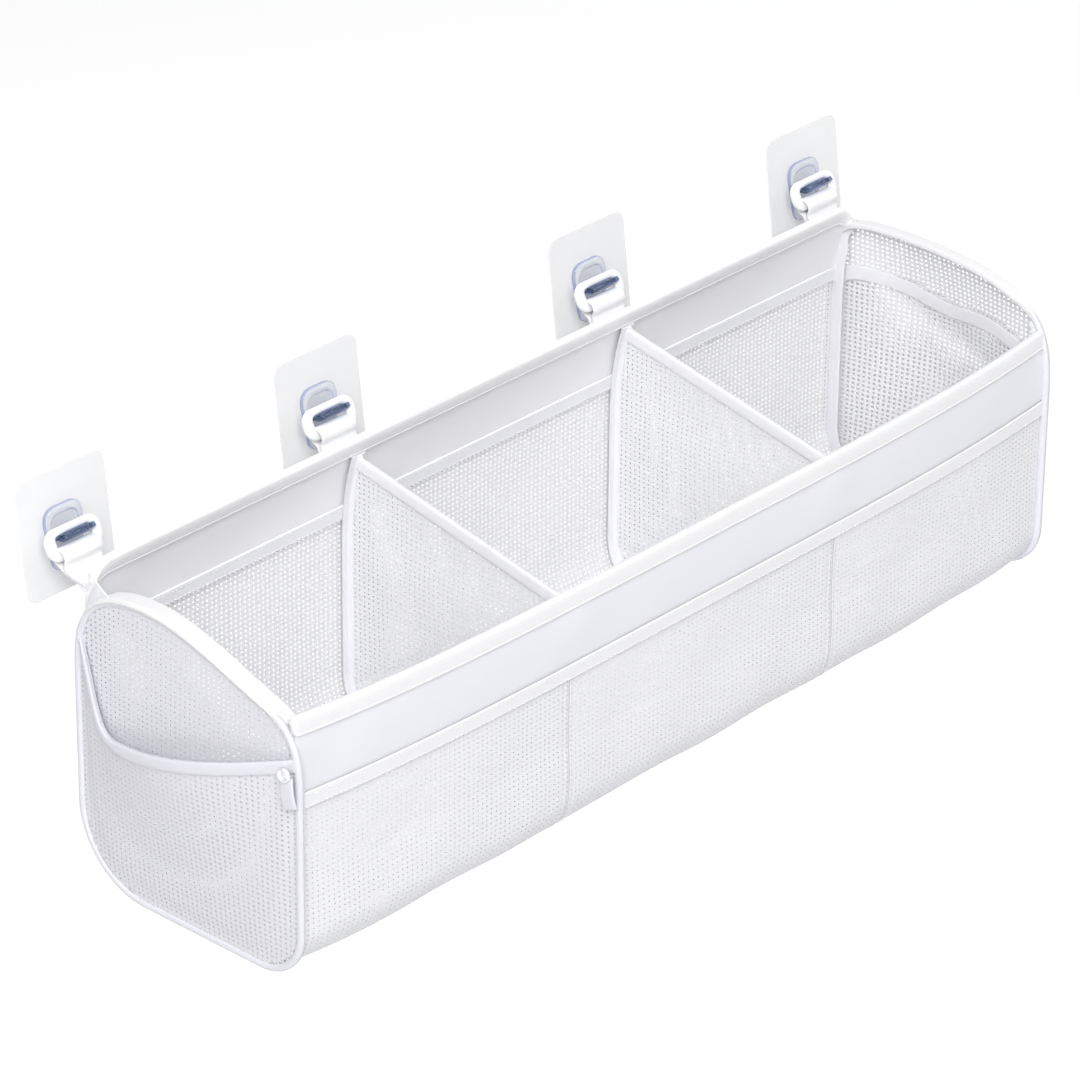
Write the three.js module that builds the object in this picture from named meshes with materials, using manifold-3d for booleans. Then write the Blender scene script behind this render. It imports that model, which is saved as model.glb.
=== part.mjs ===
// A white mesh basket for bath toys, hung by webbing loops on four clear hooks that stick to a wall.
// Millimetres. +X runs along the basket, +Y points into the wall, +Z is up.
// The wall is the plane Y = 0, and the rings hang at the height Z = 0.
import * as THREE from "three";
import { mergeVertices } from "three/addons/utils/BufferGeometryUtils.js";
import Module from "manifold-3d";

const wasm = await Module();
wasm.setup();

// Gaps between pieces that touch
const GAP = 0.3;
const WALL_GAP = 0.3;

// The two end hoops, measured on the middle of their piping
const BASKET_LENGTH = 600;
const HOOP_DEPTH = 156;
const HOOP_HEIGHT = 178;
const HOOP_REAR_CORNER_R = 45;
const HOOP_FRONT_CORNER_R = 28;
const HOOP_REAR_SHOULDER_DROP = 59;
const HOOP_FRONT_SHOULDER_DROP = 66;
const HOOP_SHOULDER_PULL = 44;
const HOOP_CROWN_PULL = 50;
const PIPING_R = 2.6;

// The arched tape over the top of each end, with a spring wire in its fold
const ARCH_TAPE_HEIGHT = 8;
const ARCH_TAPE_RISE = 3;
const ARCH_WIRE_R = 1;
const ARCH_REAR_DROP = 28;
const ARCH_FRONT_DROP = 32;

// Fabric and tape
const NET_THICKNESS = 1.2;
const BAND_THICKNESS = 1.2;
const TAPE_THICKNESS = 0.8;
const BINDING_THICKNESS = 0.9;
const WRAP_INSET = 1;
const BAND_HEIGHT = 43;
const BAND_TAPE_WIDTH = 9;

// The openings of the long net, a coarse grid: how many along each compartment and round the wall, and their share
const NET_OPENINGS_ALONG = 4;
const NET_OPENINGS_ROUND = 8;
const NET_OPEN_SHARE = 0.55;

// The two long rims, each a folded tape over a stiffening rod
const REAR_RIM_RISE = 8;
const REAR_RIM_INSET = 10.5;
const FRONT_RIM_DROP = 27;
const FRONT_RIM_INSET = 6;
const FRONT_BOW = 7;
const FRONT_SAG = 4;
const RIM_TAPE_HEIGHT = 10.5;
const RIM_ROD_R = 1.3;

// The two dividers
const DIVIDER_X = 107;
const DIVIDER_REAR_DROP = 11;
const DIVIDER_FRONT_DROP = 2;
const DIVIDER_TAPE_WIDTH = 10;
const DIVIDER_BINDING_HEIGHT = 8;
const DIVIDER_BINDING_INSET = 3;

// The end pockets
const POCKET_LOW = 92;
const POCKET_FRONT_RISE = 37.5;
const POCKET_REAR_RISE = 46;
const RIGHT_POCKET_DROP = 34;
const RIGHT_POCKET_DIP = 6;
const RIGHT_POCKET_REAR_FALL = 10;
const RIGHT_POCKET_FRONT_FALL = 17;
const POCKET_BULGE = 11;
const POCKET_BINDING_HEIGHT = 7;

// The press stud and the ribbon tab at the left pocket's front corner
const STUD_R = 4;
const STUD_HEIGHT = 2.2;
const STUD_INSET = 3.2;
const STUD_DROP = 8.5;
const TAB_WIDTH = 7;
const TAB_LENGTH = 16;
const TAB_THICKNESS = 1.4;

// The clear hooks on their films
const END_HOOK_INSET = 8;
const HOOK_SIDE_SHIFT = 2.4;
const FILM_SIDE_SHIFT = 2.5;
const FILM_WIDTH = 62;
const FILM_HEIGHT = 66;
const FILM_THICKNESS = 0.5;
const FILM_CORNER_R = 8;
const FILM_CENTRE_Z = -1.6;
const HOOK_WIDTH = 27.5;
const HOOK_TOP_Z = 12.8;
const HOOK_BOTTOM_Z = -22;
const HOOK_TOP_CORNER_R = 10;
const HOOK_FOOT_WIDTH = 20;
const HOOK_FOOT_CORNER_R = 6;
const HOOK_PLATE_THICKNESS = 3.5;
const HOOK_BEVEL = 0.8;
const TONGUE_WIDTH = 21;
const TONGUE_THICKNESS = 3;
const TONGUE_REACH = 7.7;
const LIP_LENGTH = 3;
const LIP_ANGLE = 50;

// The rings and the webbing loops
const RING_SLOT_LENGTH = 27;
const RING_SLOT_HEIGHT = 9;
const RING_BAR = 4;
const RING_END = 5.5;
const RING_THICKNESS = 3.4;
const RING_TILT = 18;
const RING_SEAT_SHARE = 0.68;
const STRAP_WIDTH = 26;
const STRAP_THICKNESS = 0.95;
const STRAP_TAIL_START = 26;
const STRAP_TAIL_LENGTH = 17;

// How the basket hangs
const BASKET_TILT = 7.2;
const RIM_BELOW_SLOT = 5.7;

// Steps of the curves
const HOOP_STEPS = 60;
const WALL_STEPS = 44;
const LENGTH_STEPS = 8;
const POCKET_STEPS = 14;
const ROUND_STEPS = 6;
const OPENING_STEPS = 2;
const TAPE_STEPS = 2;

const radians = THREE.MathUtils.degToRad;
const v2 = (x, y) => new THREE.Vector2(x, y);
const v3 = (x, y, z) => new THREE.Vector3(x, y, z);
const range = (count) => Array.from({ length: count }, (_, i) => i);
const steps = (from, to, count) => range(count + 1).map((i) => from + ((to - from) * i) / count);

// Materials
const cloth = (color, roughness) => new THREE.MeshStandardMaterial({ color, roughness, metalness: 0 });
const NET = cloth(0xeeeff2, 0.85);
const BAND = cloth(0xe8e8ee, 0.8);
const TAPE = cloth(0xf4f5f4, 0.75);
const WEBBING = cloth(0xf2f2f4, 0.8);
const RING_PLASTIC = cloth(0xf8f8f8, 0.35);
const FILM = cloth(0xf2f3f3, 0.4);
const CLEAR = new THREE.MeshStandardMaterial({
  color: 0xdde6f4,
  roughness: 0.05,
  metalness: 0,
  transparent: true,
  opacity: 0.4,
});
const STEEL = new THREE.MeshStandardMaterial({ color: 0xc4c6ca, roughness: 0.25, metalness: 1 });

// Six times the volume that a list of triangles closes, negative where they face inwards.
function signedVolume(points, faces) {
  let sum = 0;
  for (let i = 0; i < faces.length; i += 3) {
    const [a, b, c] = [points[faces[i]], points[faces[i + 1]], points[faces[i + 2]]];
    sum += a.dot(b.clone().cross(c));
  }
  return sum;
}

// A closed geometry from points and triangles, turned so that it faces out.
function closed(points, faces) {
  const turned = signedVolume(points, faces) < 0 ? faces.slice().reverse() : faces;
  const geometry = new THREE.BufferGeometry().setFromPoints(points);
  geometry.setIndex(turned);
  geometry.computeVertexNormals();
  return geometry;
}

// A section, a closed outline in the plane, carried through stations: place(station, p) gives its points in space.
// lids lists the triangles of its two ends; without it they are cut from the outline.
function sweep(outline, stations, place, lids) {
  const section = THREE.ShapeUtils.isClockWise(outline) ? outline.slice().reverse() : outline;
  const count = section.length;
  const points = stations.flatMap((station) => section.map((p) => place(station, p)));
  const faces = [];
  for (let i = 0; i + 1 < stations.length; i++)
    for (let j = 0; j < count; j++) {
      const a = i * count + j;
      const b = i * count + ((j + 1) % count);
      faces.push(a, b, b + count, a, b + count, a + count);
    }
  const last = (stations.length - 1) * count;
  for (const [a, b, c] of lids ?? THREE.ShapeUtils.triangulateShape(section, []))
    faces.push(c, b, a, last + a, last + b, last + c);
  return closed(points, faces);
}

// The outline of a strip from one end to the other: along its face, and back along its other face.
const stripSection = (from, to, count, near, far) => [
  ...steps(from, to, count).map((s) => v2(s, near)),
  ...steps(to, from, count).map((s) => v2(s, far)),
];

// The ends of a swept strip: a ladder of triangles between its two faces, so that they follow its bends.
const ladder = (count) =>
  range(count).flatMap((i) => [
    [i, i + 1, 2 * count - i],
    [i, 2 * count - i, 2 * count + 1 - i],
  ]);

// A sheet over lines in two directions, without the cells that isOpen names: place(u, v, depth) gives its points.
function openSheet(us, vs, thickness, place, isOpen) {
  const points = [0, thickness].flatMap((depth) => us.flatMap((u) => vs.map((v) => place(u, v, depth))));
  const far = us.length * vs.length;
  const filled = (i, j) => {
    if (i < 0 || j < 0 || i + 1 >= us.length || j + 1 >= vs.length) return false;
    return !isOpen((us[i] + us[i + 1]) / 2, (vs[j] + vs[j + 1]) / 2);
  };
  const faces = [];
  const quad = (a, b, c, d) => faces.push(a, b, c, a, c, d);
  const edge = (a, b) => quad(b, a, a + far, b + far);
  for (const i of range(us.length))
    for (const j of range(vs.length).filter((v) => filled(i, v))) {
      const a = i * vs.length + j;
      const [b, c, d] = [a + vs.length, a + vs.length + 1, a + 1];
      quad(a, b, c, d);
      quad(far + d, far + c, far + b, far + a);
      if (!filled(i, j - 1)) edge(a, b);
      if (!filled(i + 1, j)) edge(b, c);
      if (!filled(i, j + 1)) edge(c, d);
      if (!filled(i - 1, j)) edge(d, a);
    }
  return mergeVertices(closed(points, faces).toNonIndexed());
}

// Openings in equal parts of a length, with a bar on either side of each.
function openSpans(from, to, count) {
  const pitch = (to - from) / count;
  const bar = (pitch * (1 - NET_OPEN_SHARE)) / 2;
  return range(count).map((i) => [from + i * pitch + bar, from + (i + 1) * pitch - bar]);
}

// The outline of a tape folded over an edge: x grows from the fold to the open side, y goes across.
function foldSection(height, inside, wall) {
  const outer = inside / 2 + wall;
  const round = range(ROUND_STEPS + 1).map((i) => {
    const turn = (Math.PI * i) / ROUND_STEPS;
    return v2(outer - outer * Math.sin(turn), outer * Math.cos(turn));
  });
  return [
    v2(height, outer),
    ...round,
    v2(height, -outer),
    v2(height, -inside / 2),
    v2(wall, -inside / 2),
    v2(wall, inside / 2),
    v2(height, inside / 2),
  ];
}

const circleSection = (r, count) =>
  range(count).map((i) => v2(r * Math.cos((2 * Math.PI * i) / count), r * Math.sin((2 * Math.PI * i) / count)));

// A rectangle with its own corner radius at the top and at the bottom, centred on x = 0.
function roundedPlate(topWidth, bottomWidth, top, bottom, topR, bottomR) {
  const shape = new THREE.Shape();
  const a = topWidth / 2;
  const b = bottomWidth / 2;
  shape.moveTo(-b + bottomR, bottom);
  shape.lineTo(b - bottomR, bottom);
  shape.quadraticCurveTo(b, bottom, b + ((a - b) * bottomR) / (top - bottom), bottom + bottomR);
  shape.lineTo(a, top - topR);
  shape.quadraticCurveTo(a, top, a - topR, top);
  shape.lineTo(-a + topR, top);
  shape.quadraticCurveTo(-a, top, -a, top - topR);
  shape.lineTo(-b - ((a - b) * bottomR) / (top - bottom), bottom + bottomR);
  shape.quadraticCurveTo(-b, bottom, -b + bottomR, bottom);
  return shape;
}

// Joining and cutting
function toSolid(geometry) {
  const bare = new THREE.BufferGeometry().setAttribute("position", geometry.toNonIndexed().getAttribute("position"));
  const merged = mergeVertices(bare, 1e-4);
  const vertProperties = merged.getAttribute("position").array;
  const triVerts = new Uint32Array(merged.index.array);
  return new wasm.Manifold(new wasm.Mesh({ numProp: 3, vertProperties, triVerts }));
}

function toGeometry(solid) {
  const mesh = solid.getMesh();
  const geometry = new THREE.BufferGeometry();
  geometry.setAttribute("position", new THREE.BufferAttribute(mesh.vertProperties, 3));
  geometry.setIndex(new THREE.BufferAttribute(mesh.triVerts, 1));
  geometry.computeVertexNormals();
  return geometry;
}

const indexed = (geometry) => (geometry.index ? geometry : mergeVertices(geometry, 1e-4));
const join = (a, b) => toGeometry(toSolid(indexed(a)).add(toSolid(indexed(b))));
const cut = (a, b) => toGeometry(toSolid(indexed(a)).subtract(toSolid(indexed(b))));

function piece(parent, name, geometry, material) {
  const mesh = new THREE.Mesh(geometry, material);
  mesh.name = name;
  parent.add(mesh);
  return mesh;
}

const part = new THREE.Group();
const basket = new THREE.Group();
part.add(basket);

// The hoop, an outline in (y, z): y = 0 is its rear side, z = 0 its lowest line.
// It starts at the crown and goes down the front, along the bottom and up the rear.
const HALF = BASKET_LENGTH / 2;
const END_HOOK_X = HALF - END_HOOK_INSET;
const HOOP_REAR_SHOULDER = HOOP_HEIGHT - HOOP_REAR_SHOULDER_DROP;
const HOOP_FRONT_SHOULDER = HOOP_HEIGHT - HOOP_FRONT_SHOULDER_DROP;
const ARCH_REAR_HEIGHT = HOOP_HEIGHT - ARCH_REAR_DROP;
const ARCH_FRONT_HEIGHT = HOOP_HEIGHT - ARCH_FRONT_DROP;
const REAR_RIM_HEIGHT = HOOP_HEIGHT + REAR_RIM_RISE;
const FRONT_RIM_HEIGHT = HOOP_HEIGHT - FRONT_RIM_DROP;
const hoop = new THREE.Path();
const crownY = -HOOP_DEPTH / 2;
hoop.moveTo(crownY, HOOP_HEIGHT);
hoop.bezierCurveTo(
  crownY - HOOP_CROWN_PULL,
  HOOP_HEIGHT,
  -HOOP_DEPTH,
  HOOP_FRONT_SHOULDER + HOOP_SHOULDER_PULL,
  -HOOP_DEPTH,
  HOOP_FRONT_SHOULDER,
);
hoop.lineTo(-HOOP_DEPTH, HOOP_FRONT_CORNER_R);
hoop.absarc(HOOP_FRONT_CORNER_R - HOOP_DEPTH, HOOP_FRONT_CORNER_R, HOOP_FRONT_CORNER_R, Math.PI, 1.5 * Math.PI);
hoop.lineTo(-HOOP_REAR_CORNER_R, 0);
hoop.absarc(-HOOP_REAR_CORNER_R, HOOP_REAR_CORNER_R, HOOP_REAR_CORNER_R, 1.5 * Math.PI, 2 * Math.PI);
hoop.lineTo(0, HOOP_REAR_SHOULDER);
hoop.bezierCurveTo(
  0,
  HOOP_REAR_SHOULDER + HOOP_SHOULDER_PULL,
  crownY + HOOP_CROWN_PULL,
  HOOP_HEIGHT,
  crownY,
  HOOP_HEIGHT,
);

// Stations on the hoop: a point, and the direction out of the hoop there.
const hoopStations = range(HOOP_STEPS).map((i) => {
  const point = hoop.getPointAt(i / HOOP_STEPS);
  const tangent = hoop.getTangentAt(i / HOOP_STEPS);
  return { point, out: v2(-tangent.y, tangent.x).negate() };
});
const hoopOffset = ({ point, out }, away) => point.clone().addScaledVector(out, away);
const onArch = ({ point }) => point.y > (point.x > crownY ? ARCH_REAR_HEIGHT : ARCH_FRONT_HEIGHT);
const firstLow = hoopStations.findIndex((station) => !onArch(station));
const lastLow = HOOP_STEPS - 1 - hoopStations.slice().reverse().findIndex((station) => !onArch(station));
const lowStations = hoopStations.slice(firstLow, lastLow + 1);
const archStations = [...hoopStations.slice(lastLow + 1), ...hoopStations.slice(0, firstLow)];

// The long wall: rear rim, rear, bottom, front, front rim, as one path of its outer face in (y, z).
const inset = WRAP_INSET;
const wall = new THREE.Path();
wall.moveTo(-REAR_RIM_INSET, REAR_RIM_HEIGHT);
wall.bezierCurveTo(
  -REAR_RIM_INSET,
  REAR_RIM_HEIGHT - RIM_TAPE_HEIGHT,
  -inset,
  HOOP_REAR_SHOULDER + BAND_HEIGHT,
  -inset,
  HOOP_REAR_SHOULDER,
);
wall.lineTo(-inset, HOOP_REAR_CORNER_R);
wall.absarc(-HOOP_REAR_CORNER_R, HOOP_REAR_CORNER_R, HOOP_REAR_CORNER_R - inset, 0, 1.5 * Math.PI, true);
wall.lineTo(HOOP_FRONT_CORNER_R - HOOP_DEPTH, inset);
wall.absarc(
  HOOP_FRONT_CORNER_R - HOOP_DEPTH,
  HOOP_FRONT_CORNER_R,
  HOOP_FRONT_CORNER_R - inset,
  1.5 * Math.PI,
  Math.PI,
  true,
);
wall.lineTo(inset - HOOP_DEPTH, HOOP_FRONT_SHOULDER - RIM_TAPE_HEIGHT);
wall.quadraticCurveTo(
  inset - HOOP_DEPTH,
  FRONT_RIM_HEIGHT - RIM_TAPE_HEIGHT,
  FRONT_RIM_INSET - HOOP_DEPTH,
  FRONT_RIM_HEIGHT,
);
const WALL_LENGTH = wall.getLength();

// How far the front leans out between the ends: 1 at the middle of the length, 0 at the hoops.
const bow = (x) => 1 - (x / HALF) ** 4;
const smooth = THREE.MathUtils.smoothstep;

// A point of the long wall: s along it from the rear rim, depth inwards from its outer face, x along the basket.
function wallPoint(s, depth, x) {
  const u = THREE.MathUtils.clamp(s / WALL_LENGTH, 0, 1);
  const point = wall.getPointAt(u);
  const tangent = wall.getTangentAt(u);
  const past = s - u * WALL_LENGTH;
  const front = point.x < crownY ? 1 : 0;
  const lean = front * bow(x) * smooth(point.y, 0, HOOP_FRONT_SHOULDER / 2);
  const drop = front * bow(x) * smooth(point.y, HOOP_FRONT_SHOULDER / 2, FRONT_RIM_HEIGHT);
  return v3(
    x,
    point.x + tangent.y * depth + tangent.x * past - lean * FRONT_BOW,
    point.y - tangent.x * depth + tangent.y * past - drop * FRONT_SAG,
  );
}

const END_X = HALF - PIPING_R - GAP;
const lengthStations = steps(-END_X, END_X, LENGTH_STEPS);
const onWall = (x, p) => wallPoint(p.x, p.y, x);
const onFront = (x, p) => wallPoint(WALL_LENGTH - p.x, p.y, x);

// A point of the wall between two of its stations, on the straight run that joins them.
function onRuns(x, s, depth) {
  const run = Math.floor((LENGTH_STEPS * (x + END_X)) / (2 * END_X));
  const from = lengthStations[Math.min(run, LENGTH_STEPS - 1)];
  const to = lengthStations[Math.min(run, LENGTH_STEPS - 1) + 1];
  return wallPoint(s, depth, from).lerp(wallPoint(s, depth, to), (x - from) / (to - from));
}

// Net, bands and their seam tapes
const netFrom = BAND_HEIGHT + GAP;
const tapeEnd = BAND_HEIGHT + BAND_TAPE_WIDTH;
const compartmentEnds = [-END_X, -DIVIDER_X, DIVIDER_X, END_X];
const spansX = range(3).flatMap((i) => openSpans(compartmentEnds[i], compartmentEnds[i + 1], NET_OPENINGS_ALONG));
const spansS = openSpans(tapeEnd, WALL_LENGTH - tapeEnd, NET_OPENINGS_ROUND);
const netLinesX = [...lengthStations, ...spansX.flat()].sort((a, b) => a - b);
const netBreaks = [netFrom, ...spansS.flat(), WALL_LENGTH - netFrom];
const netLinesS = range(netBreaks.length - 1).flatMap((i) => {
  const lines = steps(netBreaks[i], netBreaks[i + 1], OPENING_STEPS);
  return i ? lines.slice(1) : lines;
});
const within = (spans, at) => spans.some(([from, to]) => at > from && at < to);
const isNetOpen = (x, s) => within(spansX, x) && within(spansS, s);
piece(basket, "wrap_net", openSheet(netLinesX, netLinesS, NET_THICKNESS, onRuns, isNetOpen), NET);

const bandTop = BINDING_THICKNESS + 2 * RIM_ROD_R + 2 * GAP;
const bandSection = stripSection(bandTop, BAND_HEIGHT, ROUND_STEPS, 0, BAND_THICKNESS);
piece(basket, "rear_band", sweep(bandSection, lengthStations, onWall, ladder(ROUND_STEPS)), BAND);
piece(basket, "front_band", sweep(bandSection, lengthStations, onFront, ladder(ROUND_STEPS)), BAND);

const rearTapeNear = Math.max(NET_THICKNESS, BAND_THICKNESS) + GAP;
const rearTapeSection = stripSection(BAND_HEIGHT, tapeEnd, TAPE_STEPS, rearTapeNear, rearTapeNear + TAPE_THICKNESS);
const frontTapeSection = stripSection(BAND_HEIGHT, tapeEnd, TAPE_STEPS, -GAP, -GAP - TAPE_THICKNESS);
piece(basket, "rear_band_tape", sweep(rearTapeSection, lengthStations, onWall, ladder(TAPE_STEPS)), TAPE);
piece(basket, "front_band_tape", sweep(frontTapeSection, lengthStations, onFront, ladder(TAPE_STEPS)), TAPE);

// Rims: a folded tape, and the rod in its fold
const rimInside = Math.max(BAND_THICKNESS, 2 * RIM_ROD_R) + 2 * GAP;
const centred = (section) => section.map((p) => v2(p.x, p.y + BAND_THICKNESS / 2));
const rimSection = centred(foldSection(RIM_TAPE_HEIGHT, rimInside, BINDING_THICKNESS));
const rodCentre = BINDING_THICKNESS + GAP + RIM_ROD_R;
const rodSection = centred(circleSection(RIM_ROD_R, ROUND_STEPS).map((p) => v2(p.x + rodCentre, p.y)));
const rearRimX = HALF - NET_THICKNESS / 2 - GAP;
for (const [side, place, stations] of [
  ["rear", onWall, steps(-rearRimX, rearRimX, LENGTH_STEPS)],
  ["front", onFront, lengthStations],
]) {
  piece(basket, side + "_rim_binding", sweep(rimSection, stations, place), TAPE);
  piece(basket, side + "_rim_rod", sweep(rodSection, stations, place), STEEL);
}

// Dividers: a net panel, the tape that seams it to the wall, and the tape folded over its top edge
const seamNear = rearTapeNear + TAPE_THICKNESS + GAP;
const dividerInset = seamNear + TAPE_THICKNESS + GAP;
const seamFrom = RIM_TAPE_HEIGHT + GAP;
const seamSection = stripSection(seamFrom, WALL_LENGTH - seamFrom, WALL_STEPS, seamNear, seamNear + TAPE_THICKNESS);
const dividerFold = NET_THICKNESS + 2 * GAP;
const dividerFoldSection = foldSection(DIVIDER_BINDING_HEIGHT, dividerFold, BINDING_THICKNESS);
[-DIVIDER_X, DIVIDER_X].forEach((x, i) => {
  const label = i + 1;
  const tapeX = [x - DIVIDER_TAPE_WIDTH / 2, x + DIVIDER_TAPE_WIDTH / 2];
  piece(basket, "divider_seam_tape_" + label, sweep(seamSection, tapeX, onWall, ladder(WALL_STEPS)), TAPE);

  const rearTop = wallPoint(DIVIDER_REAR_DROP + GAP, dividerInset, x);
  const frontTop = wallPoint(WALL_LENGTH - DIVIDER_FRONT_DROP, dividerInset, x);
  const edge = frontTop.clone().sub(rearTop).normalize();
  const foldLow = v3(0, -edge.z, edge.y);
  const netTop = BINDING_THICKNESS + GAP;
  const outline = steps(seamFrom, WALL_LENGTH - seamFrom, WALL_STEPS)
    .map((s) => wallPoint(s, dividerInset, x))
    .filter((p) => p.clone().sub(rearTop).dot(foldLow) > netTop + GAP)
    .map((p) => v2(p.y, p.z));
  const rearNet = rearTop.clone().addScaledVector(foldLow, netTop);
  const frontNet = frontTop.clone().addScaledVector(foldLow, netTop);
  const net = [v2(rearNet.y, rearNet.z), ...outline, v2(frontNet.y, frontNet.z)];
  const panel = sweep(net, [x - NET_THICKNESS / 2, x + NET_THICKNESS / 2], (at, p) => v3(at, p.x, p.y));
  piece(basket, "divider_net_" + label, panel, NET);

  const onEdge = (at, p) => at.clone().addScaledVector(foldLow, p.x).add(v3(p.y, 0, 0));
  const foldEnds = [
    rearTop.clone().addScaledVector(edge, DIVIDER_BINDING_INSET),
    frontTop.clone().addScaledVector(edge, -DIVIDER_BINDING_INSET),
  ];
  piece(basket, "divider_binding_" + label, sweep(dividerFoldSection, foldEnds, onEdge), TAPE);
});

// Ends: net panel, piping below, arched tape with its wire above, pocket and corner gusset
const panelEdge = PIPING_R + GAP;
const endOutline = hoopStations.map((station) => hoopOffset(station, -panelEdge));
const archInside = Math.max(NET_THICKNESS, 2 * ARCH_WIRE_R) + 2 * GAP;
const archSection = foldSection(ARCH_TAPE_HEIGHT, archInside, BINDING_THICKNESS);
const wireAt = BINDING_THICKNESS + GAP + ARCH_WIRE_R;
const wireSection = circleSection(ARCH_WIRE_R, ROUND_STEPS).map((p) => v2(p.x + wireAt, p.y));

// The pockets' top edges. q runs from 0 at the rear to 1 at the front.
const pocketRear = -panelEdge;
const pocketFront = panelEdge - HOOP_DEPTH;
const pocketShare = (y) => THREE.MathUtils.clamp((pocketRear - y) / (pocketRear - pocketFront), 0, 1);

// The left one is high at the rear, swoops down and rises slowly to the front.
const leftPocketTop = (y) => {
  const q = pocketShare(y);
  return POCKET_LOW + POCKET_FRONT_RISE * q ** 1.5 + POCKET_REAR_RISE * (1 - q) ** 12;
};

// The right one is drawn nearly straight, with a shallow dip in its middle and a fall at either end.
const rightPocketTop = (y) => {
  const q = pocketShare(y);
  const dip = RIGHT_POCKET_DIP * Math.exp(-(((q - 0.5) / 0.16) ** 2));
  const fall = RIGHT_POCKET_REAR_FALL * (1 - q) ** 24 + RIGHT_POCKET_FRONT_FALL * q ** 4;
  return HOOP_HEIGHT - RIGHT_POCKET_DROP - dip - fall;
};
const slopeOf = (top, y) => (top(y + 0.01) - top(y - 0.01)) / 0.02;
const arcDrop = (r, across) => Math.sqrt(Math.max((r - panelEdge) ** 2 - across ** 2, 0));
const pocketBottom = (y) => {
  if (y > -HOOP_REAR_CORNER_R) return HOOP_REAR_CORNER_R - arcDrop(HOOP_REAR_CORNER_R, y + HOOP_REAR_CORNER_R);
  const across = y + HOOP_DEPTH - HOOP_FRONT_CORNER_R;
  return across > 0 ? panelEdge : HOOP_FRONT_CORNER_R - arcDrop(HOOP_FRONT_CORNER_R, across);
};
const pocketNear = HALF + NET_THICKNESS / 2 + GAP + BINDING_THICKNESS + GAP;
const pocketOut = (top, y, z) => {
  const q = 2 * pocketShare(y) - 1;
  const v = THREE.MathUtils.clamp((z - pocketBottom(y)) / (top(y) - pocketBottom(y)), 0, 1);
  return pocketNear + POCKET_BULGE * (1 - q * q) ** 1.5 * Math.sin((Math.PI / 2) * v);
};
const pocketY = (q) => pocketRear + (pocketFront - pocketRear) * q;
const pocketYs = steps(0, 1, POCKET_STEPS).map((t) => pocketY(t ** 1.4));
const pocketEdgeYs = [...pocketYs.slice(1, -1), pocketY(0.97)];
const pocketSection = stripSection(0, 1, ROUND_STEPS, 0, NET_THICKNESS);
const pocketEdge = BINDING_THICKNESS + GAP;
const pocketFold = NET_THICKNESS + 2 * GAP;
const pocketFoldSection = foldSection(POCKET_BINDING_HEIGHT, pocketFold, BINDING_THICKNESS);
const studY = pocketFront + STUD_INSET;
const studZ = leftPocketTop(studY) - STUD_DROP;

for (const [label, side, pocketTop] of [
  ["left", -1, leftPocketTop],
  ["right", 1, rightPocketTop],
]) {
  const middle = side * HALF;
  const across = [middle - NET_THICKNESS / 2, middle + NET_THICKNESS / 2];
  piece(basket, label + "_end_net", sweep(endOutline, across, (x, p) => v3(x, p.x, p.y)), NET);

  const around = (station, p) => {
    const at = hoopOffset(station, p.x);
    return v3(middle + p.y, at.x, at.y);
  };
  const pipingSection = circleSection(PIPING_R, 8);
  piece(basket, label + "_hoop_piping", sweep(pipingSection, lowStations, around), TAPE);

  const folded = (station, p) => around(station, v2(ARCH_TAPE_RISE - p.x, p.y));
  piece(basket, label + "_arch_binding", sweep(archSection, archStations, folded), TAPE);
  piece(basket, label + "_arch_wire", sweep(wireSection, archStations, folded), STEEL);

  const onPocket = (y, p) => {
    const top = pocketTop(y) - pocketEdge * Math.hypot(1, slopeOf(pocketTop, y));
    const bottom = pocketBottom(y);
    const z = bottom + p.x * (top - bottom);
    return v3(side * (pocketOut(pocketTop, y, z) + p.y), y, z);
  };
  piece(basket, label + "_pocket_net", sweep(pocketSection, pocketYs, onPocket, ladder(ROUND_STEPS)), NET);

  const onPocketEdge = (y, p) => {
    const inwards = v2(slopeOf(pocketTop, y), -1).normalize();
    const at = v2(y, pocketTop(y)).addScaledVector(inwards, p.x);
    at.x = THREE.MathUtils.clamp(at.x, pocketFront + GAP, pocketRear - GAP);
    return v3(side * (pocketOut(pocketTop, at.x, at.y) + NET_THICKNESS / 2 + p.y), at.x, at.y);
  };
  piece(basket, label + "_pocket_binding", sweep(pocketFoldSection, pocketEdgeYs, onPocketEdge), TAPE);

  // The gusset fills the corner between the arch's rear end and the ends of the rear rim and band.
  const corner = archStations.slice(0, 5).map((station) => hoopOffset(station, ARCH_TAPE_RISE + GAP));
  const rimEnd = wallPoint(0, BAND_THICKNESS, middle);
  const rimBack = wallPoint(0, 0, middle);
  const bandEnd = wallPoint(RIM_TAPE_HEIGHT + ARCH_TAPE_HEIGHT, 0, middle);
  const gusset = [...corner, ...[rimEnd, rimBack, bandEnd].map((p) => v2(p.y, p.z))];
  piece(basket, label + "_corner_gusset", sweep(gusset, across, (x, p) => v3(x, p.x, p.y)), BAND);
}

// The press stud on the left pocket's front corner, and the ribbon tab below it
const studOut = pocketOut(leftPocketTop, studY + STUD_R, studZ) + NET_THICKNESS + GAP + BINDING_THICKNESS + GAP;
const studProfile = [
  v2(0, 0),
  v2(STUD_R, 0),
  v2(STUD_R, STUD_HEIGHT / 2),
  v2(STUD_R * 0.8, STUD_HEIGHT),
  v2(STUD_R * 0.5, STUD_HEIGHT),
  v2(STUD_R * 0.4, STUD_HEIGHT / 2),
  v2(0, STUD_HEIGHT / 2),
];
const stud = piece(basket, "pocket_stud", new THREE.LatheGeometry(studProfile, 16), STEEL);
stud.rotation.z = Math.PI / 2;
stud.position.set(-studOut, studY, studZ);

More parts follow.
